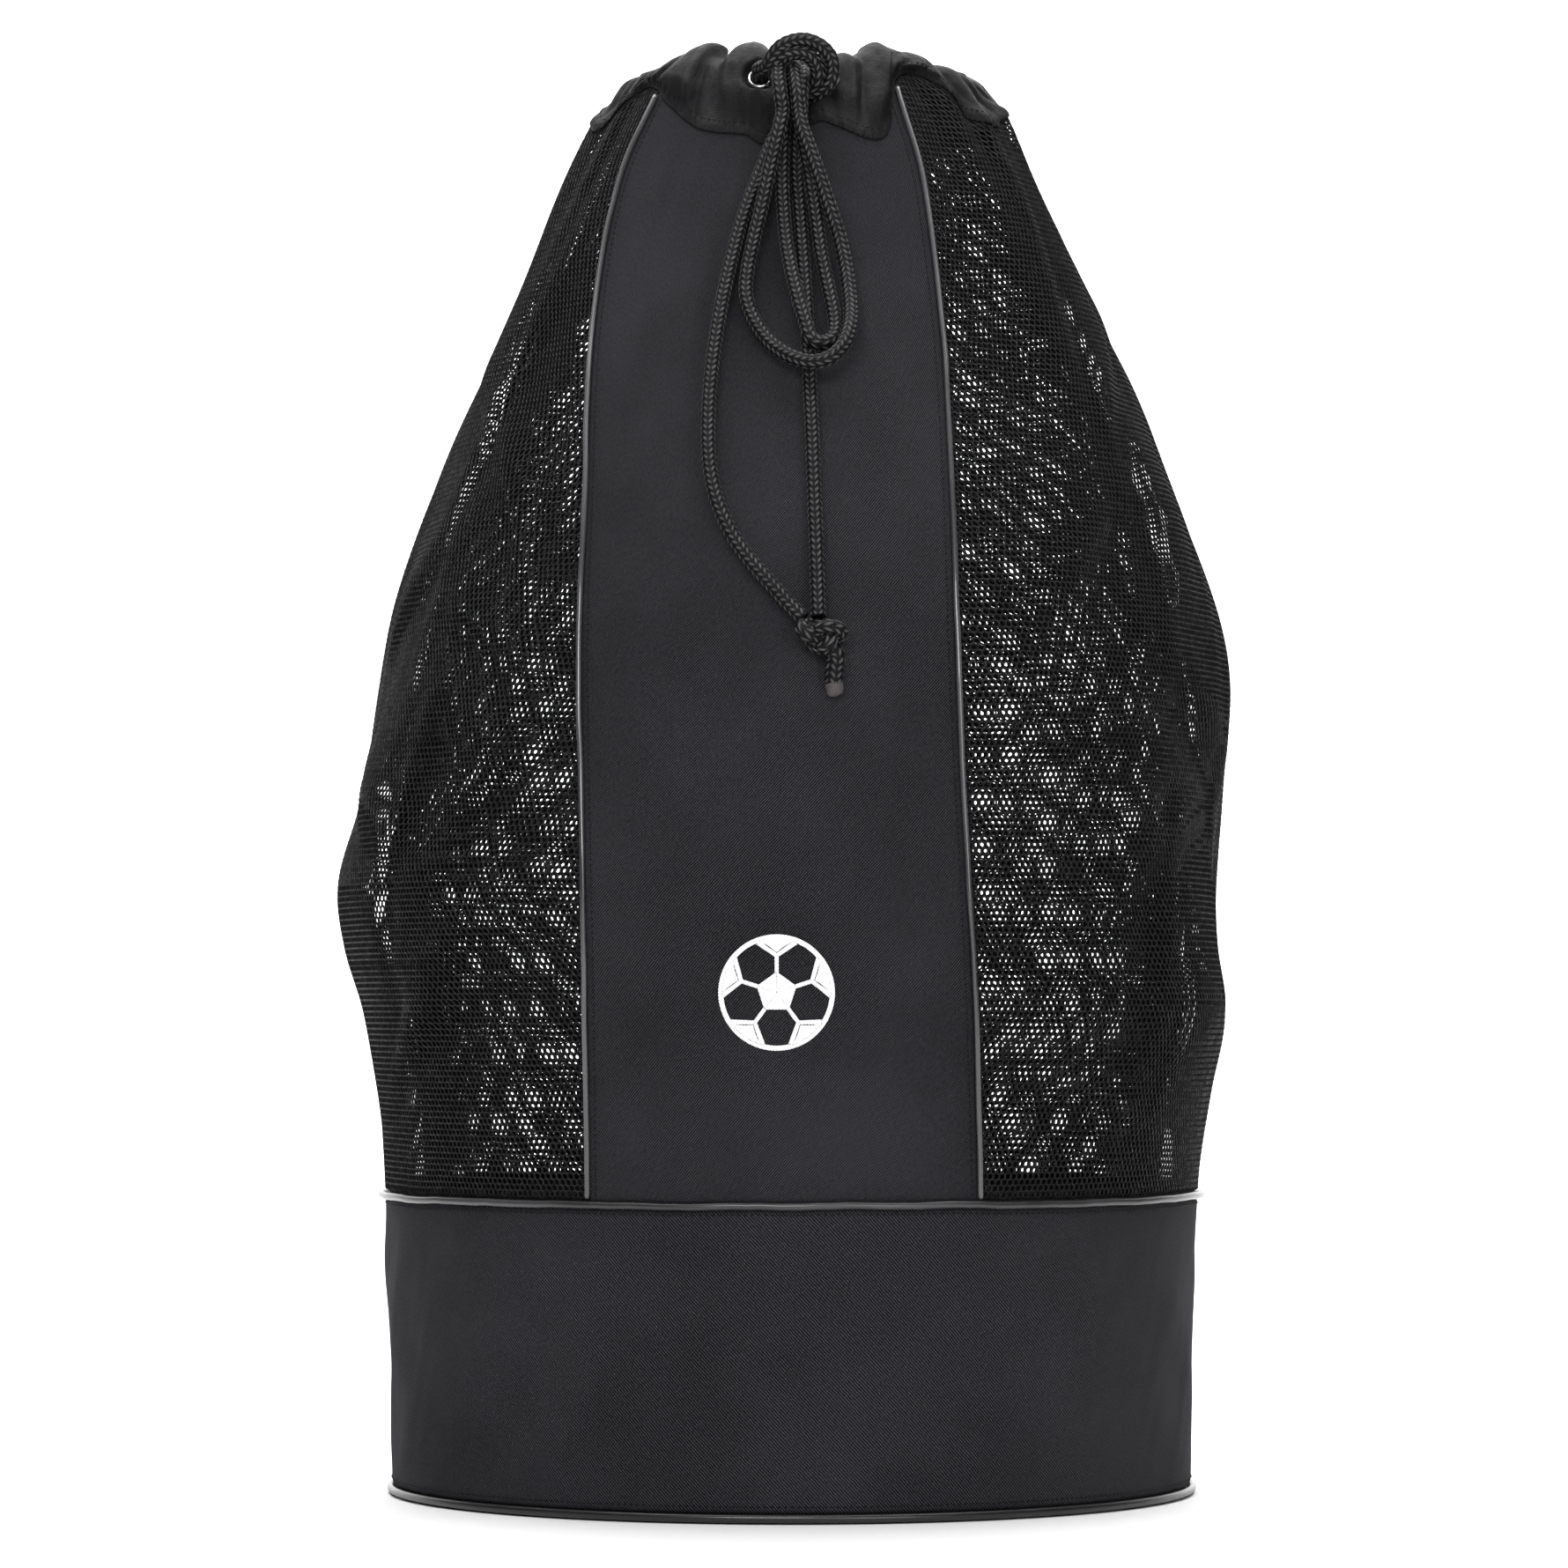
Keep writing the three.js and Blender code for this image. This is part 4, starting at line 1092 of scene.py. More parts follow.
def make_base():
    angles = all_round(180)
    radii = np.concatenate([[0.0005], np.linspace(0.004, BASE_RADIUS, 40)])
    turn, reach = np.meshgrid(angles, radii[::-1])
    sag = 0.0004 * wander(reach * 30 * np.cos(turn), reach * 30 * np.sin(turn), 1.1)
    points = np.stack([reach * np.sin(turn), -reach * np.cos(turn), 0.0019 + 0.6 * sag], -1)
    faces = grid_faces(len(radii), len(angles), True).tolist()
    faces.append(list(range((len(radii) - 1) * len(angles), len(radii) * len(angles))))
    floor = new_piece("base_cloth", points, faces, finish_named("band_cloth"))
    set_uv(floor, points[..., 0], points[..., 1])
    thicken(floor, BASE_THICKNESS)
    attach(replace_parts(floor, "base_panel"), "bag")

    rows = np.concatenate([[BAND_BOTTOM], np.linspace(0.0085, 0.1815, 44), [BAND_TOP]])
    turn, height = np.meshgrid(all_round(320), rows)
    middle = smoothstep(0.006, 0.035, height) * (1 - smoothstep(0.145, 0.182, height))
    soft = 0.0016 * wander(turn * 5.0, height * 26.0, 3.7)
    soft = soft + 0.0006 * wander(turn * 17.0, height * 60.0, 1.9)
    tucked = -0.0007 * (1 - smoothstep(0, 0.003, np.minimum(height - BAND_BOTTOM, BAND_TOP - height)))
    off = middle * soft + tucked
    band = cloth_sheet("base_band_cloth", turn, height, finish_named("band_cloth"), off, closed=True)
    thicken(band, BAND_THICKNESS)
    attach(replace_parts(band, "base_band"), "bag")

    bottom = bead_hoop(
        "base_bottom_bead", 0.0031, BEAD_GAP, BASE_BEAD_RADIUS, "black_bead", "base_bottom_piping")
    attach(bottom, "bag")
    rim = bead_hoop(
        "base_rim_bead", RIM_SEAM, RIM_BEAD_RADIUS + BEAD_GAP / 2, RIM_BEAD_RADIUS, "rim_bead",
        "base_rim_piping")
    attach(rim, "bag")
    tape_hoop("base_bottom_tape", 0.0028, 0.0132, -0.0031, "base_bottom_binding")
    tape_hoop("base_rim_tape", 0.1778, 0.1937, -0.0033, "base_rim_binding")


# ---- Panels and nets

OVER_HEM = 0.006  # how far the panels run up inside the casing
NET_REACH = 0.42  # more than half a net's flat width
NECK_FULLNESS = 0.28
NET_TUCK = 0.0042  # how far a net runs past its seams
LINING_FROM = -0.30  # the lining starts where the cosine of the angle is less than this
NET_LEVELS = {"low": 0.325, "middle": 0.460, "upper": 0.610, "high": NET_TOP}


def panel_grid(start, end):
    """Angles and heights over the cloth between two seams, up to just inside the casing."""
    across, up = np.meshgrid(np.linspace(0, 1, 108), np.linspace(0, 1, 250))
    heights = PANEL_BOTTOM + up * (0.85 - PANEL_BOTTOM)
    for _ in range(3):
        angles = mix(seam_angle(start, heights), seam_angle(end, heights), across)
        heights = PANEL_BOTTOM + up * (hem_height(angles) + OVER_HEM - PANEL_BOTTOM)
    return mix(seam_angle(start, heights), seam_angle(end, heights), across), heights


def make_panels():
    for name, node, start, end in (
        ("front_cloth", "front_panel", "front_left", "front_right"),
        ("back_cloth", "back_panel", "back_right", "back_left"),
    ):
        angles, heights = panel_grid(start, end)
        panel = cloth_sheet(name, angles, heights, finish_named("panel_cloth"))
        thicken(panel, 2 * FABRIC)
        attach(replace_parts(panel, node), "bag")


def net_lattice(start, end, low, high, pitch, off=0.0, shift=0.0, keep=None):
    """A sheet of triangles over a net. Its flat width stays fuller than the bag's at the neck, so that
    the mesh closes up in the gathers there."""
    step = pitch * math.sqrt(3) / 2
    rows = np.arange(math.floor(low / step) - 1, math.ceil(high / step) + 2)
    half_columns = int(NET_REACH / pitch)
    columns = np.arange(-half_columns, half_columns + 1)
    i, j = np.meshgrid(columns, rows)
    z = (j + shift) * step
    flat = (i + 0.5 * (j % 2) + 1.5 * shift) * pitch
    half_turn = (seam_angle(end, z) - seam_angle(start, z)) / 2
    middle = (seam_angle(end, z) + seam_angle(start, z)) / 2
    fullness = 1 + NECK_FULLNESS * smoothstep(0.640, 0.860, z)
    half_flat = half_turn * (half_depth(z) + half_width(z, np.sin(middle))) / 2 * fullness
    share = flat / half_flat
    angle = middle + share * half_turn
    edge = 1 + NET_TUCK / half_flat
    inside = (np.abs(share) <= edge) & (z >= low) & (z <= high) & (z <= hem_height(angle) + 0.005)
    if keep is not None:
        inside &= keep(angle, z)
    tucked = 0.0016 * smoothstep(0.0, 0.003, half_flat * (np.abs(share) - 1))
    points = cloth_point(angle, z, off - FABRIC - tucked)
    triangles = []
    width = len(columns)
    for row in range(len(rows) - 1):
        a = row * width + np.arange(width - 1)
        b, c, d = a + 1, a + width, a + width + 1
        if rows[row] % 2 == 0:
            triangles += [np.stack([a, b, c], -1), np.stack([b, d, c], -1)]
        else:
            triangles += [np.stack([a, b, d], -1), np.stack([a, d, c], -1)]
    faces = np.vstack(triangles)
    faces = faces[inside.ravel()[faces].all(axis=1)]
    used, index = np.unique(faces, return_inverse=True)
    return points.reshape(-1, 3)[used], index.reshape(-1, 3)


def knit(name, points, faces, radius):
    net = new_piece(name, points, faces)
    grow(
        net, net_tree(), Yarn_Radius=radius, Yarn_Sides=3, Pale_Share=0.42,
        Dark_Yarn=finish_named("yarn_dark"), Pale_Yarn=finish_named("yarn_light"))
    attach(net, "bag")
    return net


def in_margin(angle, z, margin=0.0085):
    """Picks the part of a net that is doubled, beside its seams, over the base and under the casing."""
    beside = seam_distance(angle, z) < margin
    return beside | (z < RIM_SEAM + margin) | (z > hem_height(angle) - 0.8 * margin)


def in_lining(angle, z):
    """Picks the part of a net that has a loose second layer inside it, towards the back."""
    return np.cos(angle) < LINING_FROM


def make_nets():
    sizes = bpy.context.scene.bag_sizes
    pitch, radius = sizes.net_pitch, sizes.yarn_radius
    for side, start, end in (
        ("right", "front_right", "back_right"), ("left", "back_left", "front_left_again"),
    ):
        pieces = []
        bottom = NET_BOTTOM
        for part, top in NET_LEVELS.items():
            lattice = net_lattice(start, end, bottom, top + pitch * math.sqrt(3), pitch)
            pieces.append(knit(f"{side}_net_{part}", *lattice, radius))
            bottom = top
        margin = net_lattice(
            start, end, NET_BOTTOM, NET_TOP, pitch * 0.86, off=-0.0011, shift=0.5, keep=in_margin)
        knit(f"{side}_net_margin", *margin, radius)
        lining = net_lattice(
            start, end, NET_BOTTOM, NET_TOP, pitch * 1.3, off=-0.0070, shift=0.3, keep=in_lining)
        knit(f"{side}_net_lining", *lining, radius * 1.95)
        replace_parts(pieces[0], f"{side}_net")


# ---- Seams

TAPE_WIDTH = 0.011


def seam_top(name):
    return float(hem_height(seam_angle(name, 0.855)))


def make_seams():
    for name in SEAMS:
        top = seam_top(name)
        z = np.linspace(0.1895, top + 0.001, 330)
        spread = 0.0005 * wander(z * 23, 0 * z, 1.0 + len(name)) / half_depth(z)
        line = bag_point(seam_angle(name, z) + spread, z, 0.0021 + 0.0003 * wander(z * 31, 0 * z, 2.0))
        line = smooth_route(line[::3], 0.0022)
        bead = tube_mesh(f"{name}_bead", line, SEAM_BEAD_RADIUS, 12, finish_named("reflective_bead"))
        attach(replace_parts(bead, f"{name}_piping"), "bag")
        across, heights = np.meshgrid(np.linspace(-0.5, 0.5, 7), np.linspace(0.1957, top - 0.004, 180))
        angles = seam_angle(name, heights) + across * TAPE_WIDTH / half_depth(heights)
        points = bag_point(angles, heights, -0.0030)
        tape = new_piece(f"{name}_tape", points, grid_faces(*angles.shape), finish_named("binding_tape"))
        set_uv(tape, across * TAPE_WIDTH, heights)
        thicken(tape, TAPE_THICKNESS)
        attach(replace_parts(tape, f"{name}_binding"), "bag")


# ---- Casing

FOLD_ROUND = 0.0075  # how far below its top the casing starts to curve over
LAYER_GAP = 0.0012  # the casing's outer layer over the panels at its hem
CASING_REACH = 0.16  # turns the angle round the casing into metres of cloth
EYELET_SIDES = 56
EYELET_HOLE = 0.0062  # the casing is open inside this, lies flat to EYELET_FLAT and is free past EYELET_FREE
EYELET_FLAT = 0.0085
EYELET_FREE = 0.0125

# Outlines turned round an eyelet's axis: distance from it, and height out of the casing.
EYELET_OUTLINE = [
    (0.0057, -0.0034), (0.0057, 0.0004), (0.0059, 0.0012), (0.0064, 0.0018), (0.0070, 0.0019),
    (0.0077, 0.0015), (0.0082, 0.0008), (0.0083, 0.0003), (0.0080, 0.0001), (0.0064, 0.0001),
    (0.0063, -0.0034), (0.0060, -0.0036),
]
WASHER_OUTLINE = [(0.0067, -0.0029), (0.0083, -0.0028), (0.0083, -0.0022), (0.0067, -0.0021)]


def casing_rim(angle):
    table = np.column_stack([np.radians(RIM_LINE[:, 0]), RIM_LINE[:, 1]])
    fine = 0.0006 * wander(angle * 19.0, 0 * angle, 8.4)
    return along(table, turned(angle), 1) + fine


def creased(angle, count, seed):
    """Rounded folds with sharp creases between them, from 0 in a crease to 1."""
    bent = angle + 0.5 / count * wander(angle * 0.4 * count, 0 * angle, seed)
    return np.abs(np.sin(count * bent + seed)) ** 0.7


def casing_off(angle, share):
    """How far the casing's outer layer stands off the bag, from 0 at its hem to 1 where it folds over."""
    depth = bpy.context.scene.bag_sizes.puff_depth
    under = drape(angle, hem_height(angle) + 0 * share)
    swell = smoothstep(0.05, 0.60, share)
    lean = angle + 0.16 * (1 - share) * wander(angle * 4.0, 0 * angle, 7.7)
    ridge = np.clip((casing_rim(lean) - 0.8905) / 0.011, 0, 1)
    folds = 0.95 * ridge + 0.42 * creased(lean, 14, 0.9) + 0.22 * creased(lean, 31, 4.2) - 0.55
    cross = 0.0018 * swell * (1 - share) * wander(angle * 11.0, share * 5.0, 6.1)
    free = under * (1 - 0.72 * swell) + depth * folds * swell + cross + LAYER_GAP
    lowest = mix(-0.02, -0.0036, smoothstep(0.15, 0.35, share))
    softness = 0.0006
    return lowest + softness * np.logaddexp(0, (free - lowest) / softness)


def pucker(angle, above):
    """Short upright puckers between the hem's two rows of stitches."""
    band = np.exp(-(((above - 0.0045) / 0.0028) ** 2))
    wave = np.abs(np.sin(84 * angle + 2.2 * wander(angle * 13, 0 * angle, 2.3)))
    return 0.0014 * band * (wave - 0.3)


def casing_surface(angle, rows_out=34, rows_fold=16, rows_in=14):
    """The casing's middle line at these angles: up outside, over the fold and down inside."""
    hem = hem_height(angle)
    rim = casing_rim(angle)
    turn_at = rim - FOLD_ROUND
    inner_hem = np.minimum(hem, PLAIN_HEM - HEM_WAVE * np.cos(2 * angle))
    rows = []
    for t in np.linspace(0, 1, rows_out) ** 1.15:
        z = mix(hem, turn_at, t)
        off = casing_off(angle, t) + pucker(angle, z - hem)
        rows.append(bag_point(angle, z, off))
    top_off = casing_off(angle, 1.0)
    inner_off = -CHANNEL_DEPTH + 0.0012 * (creased(angle, 14, 1.7) - 0.5)
    for theta in np.linspace(0, math.pi, rows_fold)[1:]:
        middle, reach = (top_off + inner_off) / 2, (top_off - inner_off) / 2
        z = turn_at + FOLD_ROUND * math.sin(theta) ** 0.8
        rows.append(bag_point(angle, np.minimum(z, RIM), middle + reach * math.cos(theta)))
        rows[-1][..., 2] = z
    shoulder = inner_hem + 0.0115
    for t in np.linspace(0, 1, rows_in)[1:]:
        rows.append(bag_point(angle, mix(turn_at, shoulder, t), inner_off))
    lap = drape(angle, inner_hem) * 0.6 - 0.0034
    for t in (0.25, 0.5, 0.75, 1.0):
        off = mix(inner_off, lap, t * t * (3 - 2 * t))
        rows.append(bag_point(angle, mix(shoulder, inner_hem + 0.004, t), off))
    rows.append(bag_point(angle, inner_hem, lap))
    return np.array(rows)


def make_casing():
    angles = all_round(620)
    rows = casing_surface(angles)
    faces = grid_faces(len(rows), len(angles), True)
    casing = new_piece("casing_cloth", rows, faces, finish_named("casing_nylon"))
    steps = np.linalg.norm(np.diff(rows, axis=0), axis=-1)
    run = np.concatenate([np.zeros((1, len(angles))), np.cumsum(steps, axis=0)])
    across = np.broadcast_to(angles * CASING_REACH, run.shape)
    set_uv(casing, across, run, 2 * math.pi * CASING_REACH)
    for node in EYELETS:
        centre, out = eyelet_place(node)
        co = np.array([v.co for v in casing.data.vertices])
        beside = co - centre
        high = beside @ out
        flat = beside - high[:, None] * out
        reach = np.linalg.norm(flat, axis=1)
        near = (1 - smoothstep(EYELET_FLAT, EYELET_FREE, reach)) * (np.abs(high) < 0.009)
        level = co + (-0.0002 - high)[:, None] * out
        open_by = np.maximum(EYELET_HOLE - reach, 0)[:, None]
        pushed = level + flat / np.maximum(reach, 1e-6)[:, None] * open_by
        casing.data.vertices.foreach_set("co", mix(co, pushed, near[:, None]).ravel())
    thicken(casing, FABRIC)
    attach(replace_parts(casing, "casing"), "bag")


def make_eyelets():
    """Nickel eyelets: the turned rim outside, the barrel and the washer inside."""
    for node in EYELETS:
        centre, out = eyelet_place(node)
        side = np.cross(out, [0.0, 0.0, 1.0])
        side = side / np.linalg.norm(side)
        up = np.cross(side, out)
        for name, outline, stands_for in (
            (f"{node}_rim", EYELET_OUTLINE, node), (f"{node}_back", WASHER_OUTLINE, f"{node}_washer"),
        ):
            turn = all_round(EYELET_SIDES)[:, None, None]
            r, h = (column[None, :, None] for column in np.array(outline).T)
            ring = centre + r * (np.cos(turn) * side + np.sin(turn) * up) + h * out
            count = len(outline)
            i, j = np.meshgrid(np.arange(EYELET_SIDES), np.arange(count), indexing="ij")
            k, after = (i + 1) % EYELET_SIDES, (j + 1) % count
            corners = [i * count + j, i * count + after, k * count + after, k * count + j]
            quads = np.stack(corners, -1).reshape(-1, 4)
            piece = new_piece(name, ring, quads, finish_named("polished_nickel"))
            face_out(piece)
            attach(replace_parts(piece, stands_for), "bag")


def face_out(obj):
    """Turns a closed mesh's faces outward."""
    made = bmesh.new()
    made.from_mesh(obj.data)
    bmesh.ops.recalc_face_normals(made, faces=made.faces)
    made.to_mesh(obj.data)
    made.free()


# ---- Printed badge

FILM_THICKNESS = 0.00035
FILM_LIFT = 0.0005
SPOKE_END = 0.66 * BADGE_RADIUS


def strip(start, end, width, flare=1.0):
    """A straight bar of the badge from one flat point to another."""
    along_it = (end - start) / np.linalg.norm(end - start)
    beside = np.array([-along_it[1], along_it[0]])
    share, across = np.meshgrid(np.linspace(0, 1, 10), np.linspace(0.5, -0.5, 3))
    wide = width * mix(1.0, flare, share)
    points = start + share[..., None] * (end - start) + (across * wide)[..., None] * beside
    return points[..., 0], points[..., 1]


def polar(radius, turn):
    return np.array((-radius * math.sin(turn), radius * math.cos(turn)))


def make_badge():
    """A plain football sign: a ring, a middle pentagon, and five short seams that fork at their ends."""
    fifth = 2 * math.pi / 5
    turn, across = np.meshgrid(2 * math.pi * np.linspace(0, 1, 120)[:-1], np.linspace(-0.5, 0.5, 4))
    reach = BADGE_RADIUS - BADGE_LINE / 2 - across * BADGE_LINE
    patches = [(-reach * np.sin(turn), reach * np.cos(turn), True)]
    corners = [polar(0.36 * BADGE_RADIUS, k * fifth) for k in range(5)]
    for k in range(5):
        a, b = corners[k], corners[(k + 1) % 5]
        u, v = np.meshgrid(np.linspace(0, 1, 9), np.linspace(0.02, 1, 8))
        flat = ((b - a)[None, None] * u[..., None] + a) * v[..., None]
        patches.append((flat[..., 0], flat[..., 1], False))
        line = BADGE_LINE * 0.8
        spoke = strip(polar(0.34 * BADGE_RADIUS, k * fifth), polar(SPOKE_END, k * fifth), line)
        patches.append((*spoke, False))
        tip = polar(SPOKE_END - 0.0008, k * fifth)
        for away in (-0.40, 0.40):
            rim_point = polar(BADGE_RADIUS - line, k * fifth + away * 0.92)
            patches.append((*strip(tip, rim_point, line, flare=1.25), False))
        u, v = np.meshgrid(np.linspace(-1, 1, 13), np.linspace(0, 1, 7))
        radius = mix(0.69 * BADGE_RADIUS, BADGE_RADIUS - BADGE_LINE * 0.7, v)
        angle = k * fifth + u * 0.335 * v ** 0.9
        patches.append((-radius * np.sin(angle), radius * np.cos(angle), False))
    meshes = []
    for index, (x, z, closed) in enumerate(patches):
        x, z = BADGE_PLACE[0] + x, BADGE_PLACE[1] + z
        points = cloth_point(np.arcsin(x / half_width(z, x)), z, FILM_LIFT + 0.00002 * index)
        faces = grid_faces(*x.shape, closed)
        piece = new_piece(f"badge_{index}", points, faces, finish_named("white_film"))
        aim(piece, Vector((0, -1, 0)))
        meshes.append(thicken(piece, FILM_THICKNESS, offset=0.0))
    badge = join(meshes, "badge_film")
    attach(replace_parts(badge, "badge_print"), "bag")


def aim(obj, way):
    """Flips a sheet's faces where they face away from this way."""
    made = bmesh.new()
    made.from_mesh(obj.data)
    made.normal_update()
    facing = sum((f.normal * f.calc_area() for f in made.faces), Vector())
    if facing.dot(way) < 0:
        bmesh.ops.reverse_faces(made, faces=made.faces)
    made.to_mesh(obj.data)
    made.free()


def join(objects, name):
    first = objects[0]
    with bpy.context.temp_override(
        active_object=first, object=first, selected_editable_objects=objects, selected_objects=objects,
    ):
        bpy.ops.object.join()
    first.name = name
    first.data.name = name
    return first


# ---- Stitches


def make_stitches():
    sizes = bpy.context.scene.bag_sizes
    kind = {"length": sizes.stitch_length, "gap": sizes.stitch_gap, "radius": sizes.thread_radius}
    angles = all_round(900)
    below_rim = cloth_point(angles, RIM_SEAM - 0.0052, 0.0002)
    over_base = cloth_point(angles, 0.0098, 0.0002)
    stitch_rows("base_band_stitches", [below_rim, over_base], True, **kind)
    hem = hem_height(angles)
    rows = []
    for above in (0.0012, 0.0078):
        share = np.clip(above / (casing_rim(angles) - FOLD_ROUND - hem), 0, 1)
        off = casing_off(angles, share) + pucker(angles, above)
        rows.append(bag_point(angles, hem + above, off + 0.0001))
    stitch_rows("casing_stitches", rows, True, length=0.0024, gap=0.0010, radius=0.00034)
    beside = []
    for name in SEAMS:
        z = np.linspace(0.192, seam_top(name) - 0.003, 400)
        way = 1 if name in ("front_left", "back_right") else -1
        beside.append(cloth_point(seam_angle(name, z) + way * 0.0048 / half_depth(z), z, 0.0002))
    stitch_rows("seam_stitches", beside, False, **kind)


# ---- Camera, lights and floor

CAMERA_PLACE = (-0.0047, -3.7, 0.300)
CAMERA_TILT = 92.22
CAMERA_LENS = 134.7
WORLD_STRENGTH = 0.15
SWEEP_FRONT, SWEEP_BACK, SWEEP_TOP = -5.0, 2.6, 5.0
SWEEP_BEND = 1.6
SWEEP_SIDE = 4.0

# Soft lights: name, place, what it points at, size and watts.
LIGHTS = [
    ("key", (-0.5, -3.2, 1.9), (0, 0, 0.45), (1.6, 1.2), 70),
    ("fill", (1.3, -3.0, 0.8), (0, 0, 0.40), (1.2, 1.4), 26),
    ("top", (0.0, 0.3, 2.9), (0, 0.3, 0.0), (3.2, 2.6), 134),
    ("backdrop", (0.0, 1.0, 2.4), (0, 3.2, 0.7), (3.4, 1.0), 92),
]


def soft_light(name, place, target, size, watts):
    light = bpy.data.lights.new(name, "AREA")
    light.shape = "RECTANGLE"
    light.size, light.size_y = size
    light.energy = watts
    obj = bpy.data.objects.new(name, light)
    bpy.context.scene.collection.objects.link(obj)
    obj.visible_camera = False
    obj.location = place
    obj.rotation_euler = (Vector(target) - Vector(place)).to_track_quat("-Z", "Y").to_euler()


def make_stage():
    scene = bpy.context.scene
    camera = bpy.data.objects.new("camera", bpy.data.cameras.new("camera"))
    scene.collection.objects.link(camera)
    camera.location = CAMERA_PLACE
    camera.rotation_euler = (math.radians(CAMERA_TILT), 0.0, 0.0)
    camera.data.lens = CAMERA_LENS
    camera.data.sensor_width = 36.0
    scene.camera = camera
    scene.view_settings.view_transform = "Standard"
    flat_to = SWEEP_BACK - SWEEP_BEND
    profile = [(SWEEP_FRONT, 0.0), (flat_to, 0.0)]
    for t in np.linspace(0, math.pi / 2, 24)[1:]:
        profile.append((flat_to + SWEEP_BEND * math.sin(t), SWEEP_BEND - SWEEP_BEND * math.cos(t)))
    profile.append((SWEEP_BACK, SWEEP_TOP))
    xs = np.linspace(-SWEEP_SIDE, SWEEP_SIDE, 9)
    points = np.array([[(x, y, z - 0.0005) for x in xs] for y, z in profile])
    sweep = new_piece("floor", points, grid_faces(len(profile), len(xs)), finish_named("pale_floor"))
    aim(sweep, Vector((0, -1, 1)))
    world = bpy.data.worlds.new("studio")
    world.use_nodes = True
    sky = world.node_tree.nodes["Background"].inputs
    sky["Color"].default_value = (1.0, 1.0, 1.0, 1.0)
    sky["Strength"].default_value = WORLD_STRENGTH
    scene.world = world
    for light in LIGHTS:
        soft_light(*light)


# ---- Add-on


def length_property(name, description, default, low, high):
    return bpy.props.FloatProperty(
        name=name, description=description, default=default, min=low, max=high, unit="LENGTH", precision=5)


class BagSizes(bpy.types.PropertyGroup):
    plait_length: length_property(
        "Plait Length", "How far apart the cord's plaits are along it", 0.0042, 0.001, 0.02)
    plait_depth: length_property("Plait Depth", "How far the cord's plaits stand up", 0.0008, 0.0, 0.002)
    net_pitch: length_property("Net Pitch", "How far apart the net's holes are", 0.0041, 0.002, 0.02)
    yarn_radius: length_property(
        "Yarn Radius", "Half the thickness of the net's yarn", 0.00078, 0.0001, 0.003)
    puff_depth: length_property(
        "Puff Depth", "How far the casing's folds stand out between its creases", 0.0085, 0.0, 0.02)
    stitch_length: length_property("Stitch Length", "Length of each stitch", 0.0028, 0.001, 0.01)
    stitch_gap: length_property("Stitch Gap", "Gap from one stitch to the next", 0.0011, 0.0, 0.01)
    thread_radius: length_property(
        "Thread Radius", "Half the thickness of the sewing thread", 0.0004, 0.0001, 0.002)


def colour_property(name, description, default):
    return bpy.props.FloatVectorProperty(
        name=name, description=description, subtype="COLOR", size=3, min=0.0, max=1.0, default=default)


class BagColours(bpy.types.PropertyGroup):
    panel: colour_property("Panel", "The solid panels' cloth", (0.0125, 0.0122, 0.0140))
    band: colour_property("Band", "The base band's cloth", (0.0120, 0.0117, 0.0135))
    casing: colour_property("Casing", "The casing's nylon", (0.0042, 0.0041, 0.0048))
    cord: colour_property("Cord", "The braided cord", (0.0075, 0.0074, 0.0078))
    net: colour_property("Net", "The net's yarn", (0.0080, 0.0080, 0.0086))
    bead: colour_property("Piping", "The reflective piping", (0.060, 0.060, 0.064))
    tape: colour_property("Tape", "The tapes inside the seams", (0.010, 0.010, 0.011))


class MakeStage(bpy.types.Operator):
    """Sets the camera, the soft lights and the pale floor"""

    bl_idname = "ball_bag.stage"
    bl_label = "Camera, Lights and Floor"

    def execute(self, context):
        make_stage()
        return {"FINISHED"}


class MakeCords(bpy.types.Operator):
    """Braids the free cord: its knot, its two tails and its two loops"""

    bl_idname = "ball_bag.cords"
    bl_label = "Tails and Loops"

    def execute(self, context):
        make_cords()
        return {"FINISHED"}


class MakeSlipKnot(bpy.types.Operator):
    """Wraps the cord round its own strands in front of the eyelets"""

    bl_idname = "ball_bag.slip_knot"
    bl_label = "Slip Knot"

    def execute(self, context):
        make_slip_knot()
        return {"FINISHED"}


class MakeChannelCord(bpy.types.Operator):
    """Runs the cord round inside the casing"""

    bl_idname = "ball_bag.channel_cord"
    bl_label = "Cord in the Casing"

    def execute(self, context):
        make_channel_cord()
        return {"FINISHED"}


class MakeBase(bpy.types.Operator):
    """Makes the base, its band, its piping and its tapes"""

    bl_idname = "ball_bag.base"
    bl_label = "Base"

    def execute(self, context):
        make_base()
        return {"FINISHED"}


class MakePanels(bpy.types.Operator):
    """Makes the front and back panels"""

    bl_idname = "ball_bag.panels"
    bl_label = "Solid Panels"

    def execute(self, context):
        make_panels()
        return {"FINISHED"}


class MakeNets(bpy.types.Operator):
    """Knits the two nets"""

    bl_idname = "ball_bag.nets"
    bl_label = "Nets"

    def execute(self, context):
        make_nets()
        return {"FINISHED"}


class MakeSeams(bpy.types.Operator):
    """Makes the seams' piping and tapes"""

    bl_idname = "ball_bag.seams"
    bl_label = "Seams"

    def execute(self, context):
        make_seams()
        return {"FINISHED"}


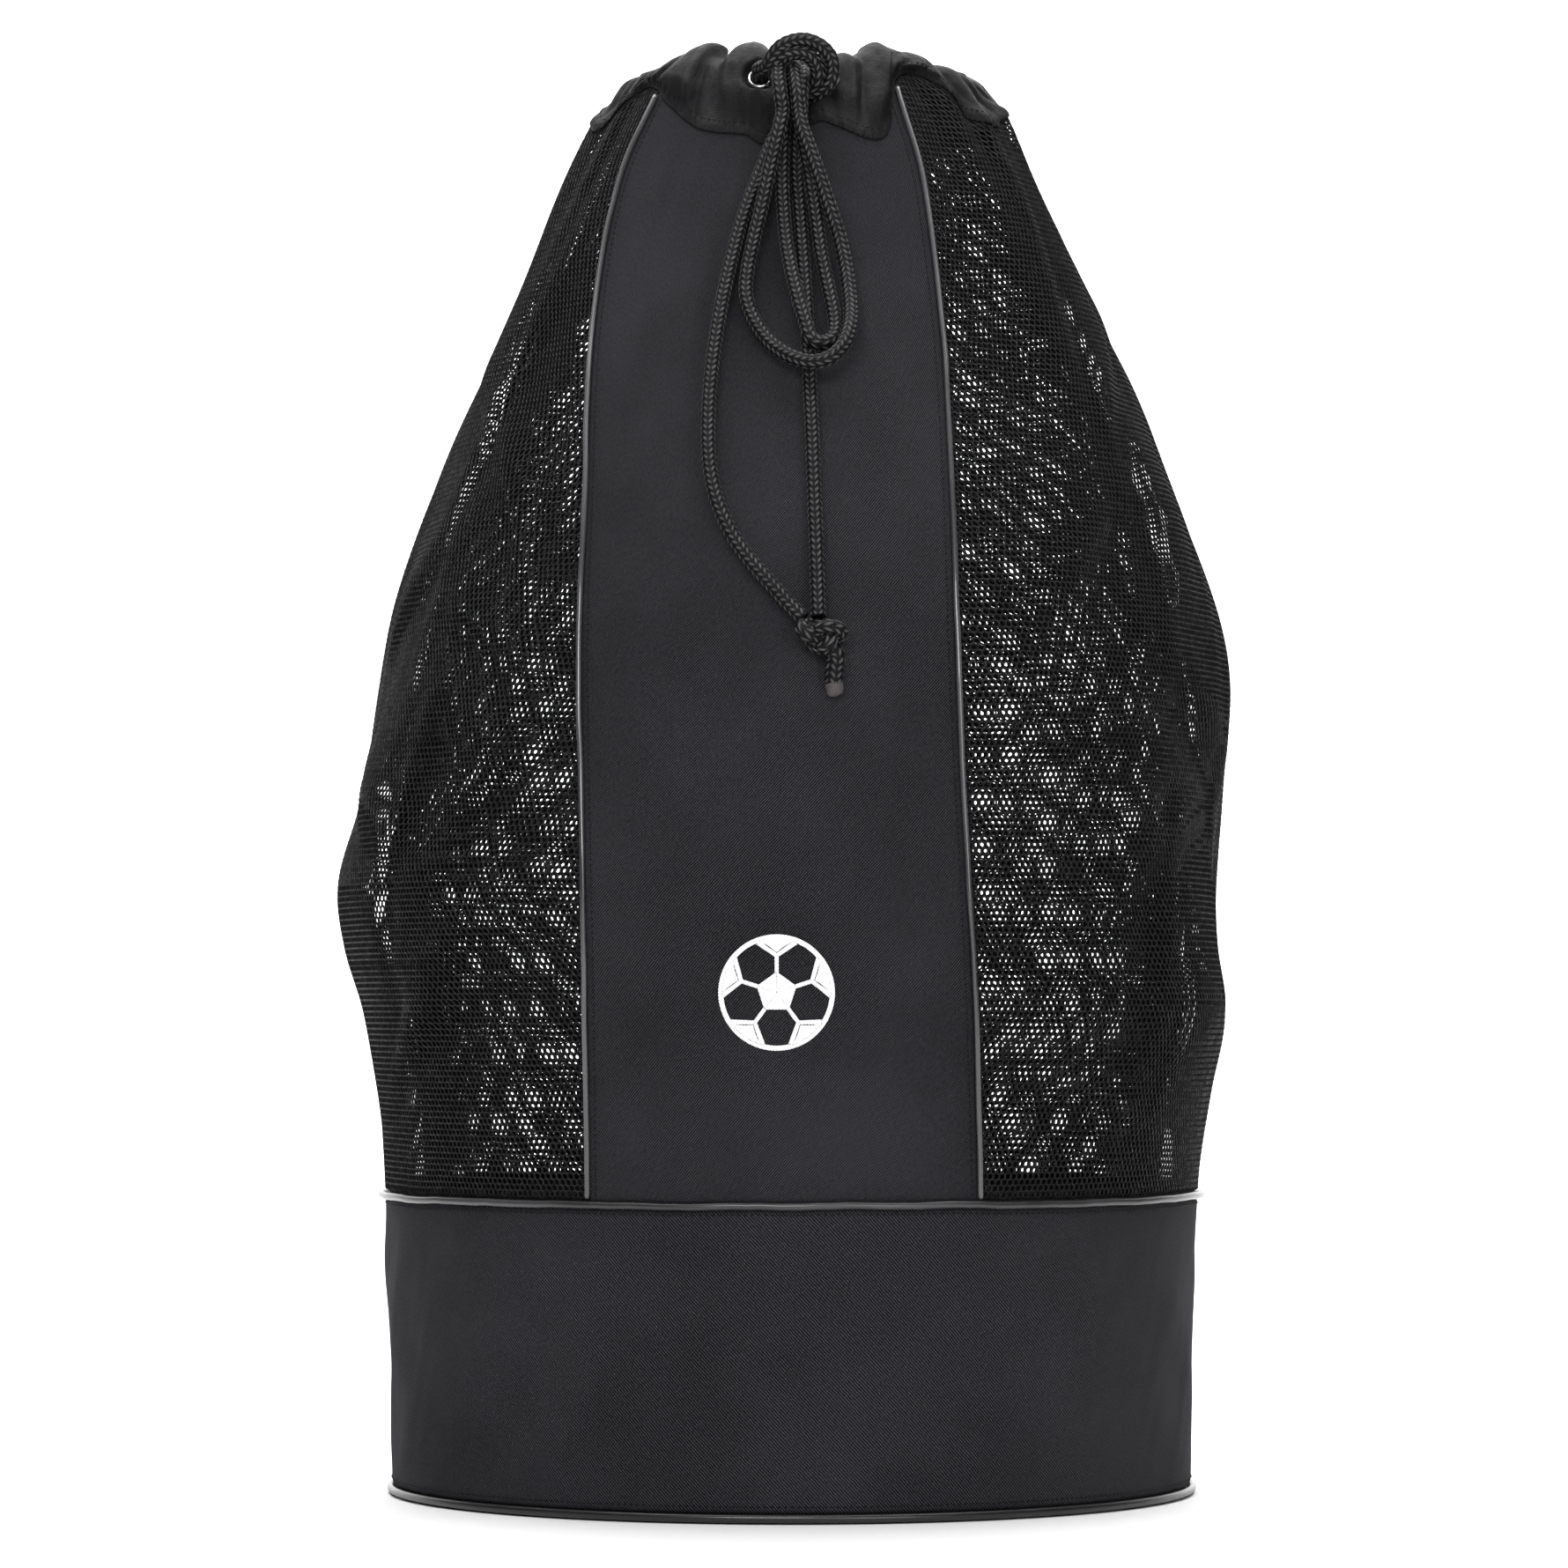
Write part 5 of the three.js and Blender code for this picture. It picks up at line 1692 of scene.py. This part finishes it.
class MakeCasing(bpy.types.Operator):
    """Makes the gathered casing at the mouth"""

    bl_idname = "ball_bag.casing"
    bl_label = "Casing"

    def execute(self, context):
        make_casing()
        return {"FINISHED"}


class MakeEyelets(bpy.types.Operator):
    """Makes the two nickel eyelets and their washers"""

    bl_idname = "ball_bag.eyelets"
    bl_label = "Eyelets"

    def execute(self, context):
        make_eyelets()
        return {"FINISHED"}


class MakeBadge(bpy.types.Operator):
    """Prints the football sign on the front panel"""

    bl_idname = "ball_bag.badge"
    bl_label = "Printed Badge"

    def execute(self, context):
        make_badge()
        return {"FINISHED"}


class MakeStitches(bpy.types.Operator):
    """Sews the rows of stitches"""

    bl_idname = "ball_bag.stitches"
    bl_label = "Stitches"

    def execute(self, context):
        make_stitches()
        return {"FINISHED"}


class BallBagPanel(bpy.types.Panel):
    """Lists the bag's sizes, its colours and the steps that build it"""

    bl_idname = "VIEW3D_PT_ball_bag"
    bl_label = "Ball Bag"
    bl_space_type = "VIEW_3D"
    bl_region_type = "UI"
    bl_category = "Ball Bag"

    def draw(self, context):
        for settings in (context.scene.bag_sizes, context.scene.bag_colours):
            for name in settings.__annotations__:
                self.layout.prop(settings, name)
        for step in STEPS:
            self.layout.operator(step.bl_idname)


STEPS = (
    MakeStage, MakeCords, MakeSlipKnot, MakeChannelCord, MakeBase,
    MakePanels, MakeNets, MakeSeams, MakeCasing, MakeEyelets,
    MakeBadge, MakeStitches,
)
CLASSES = (BagSizes, BagColours, *STEPS, BallBagPanel)


def register():
    for kind in CLASSES:
        bpy.utils.register_class(kind)
    bpy.types.Scene.bag_sizes = bpy.props.PointerProperty(type=BagSizes)
    bpy.types.Scene.bag_colours = bpy.props.PointerProperty(type=BagColours)


def unregister():
    del bpy.types.Scene.bag_colours
    del bpy.types.Scene.bag_sizes
    for kind in reversed(CLASSES):
        bpy.utils.unregister_class(kind)


def main():
    register()
    for step in STEPS:
        getattr(bpy.ops.ball_bag, step.bl_idname.split(".")[1])()


if __name__ == "__main__":
    main()
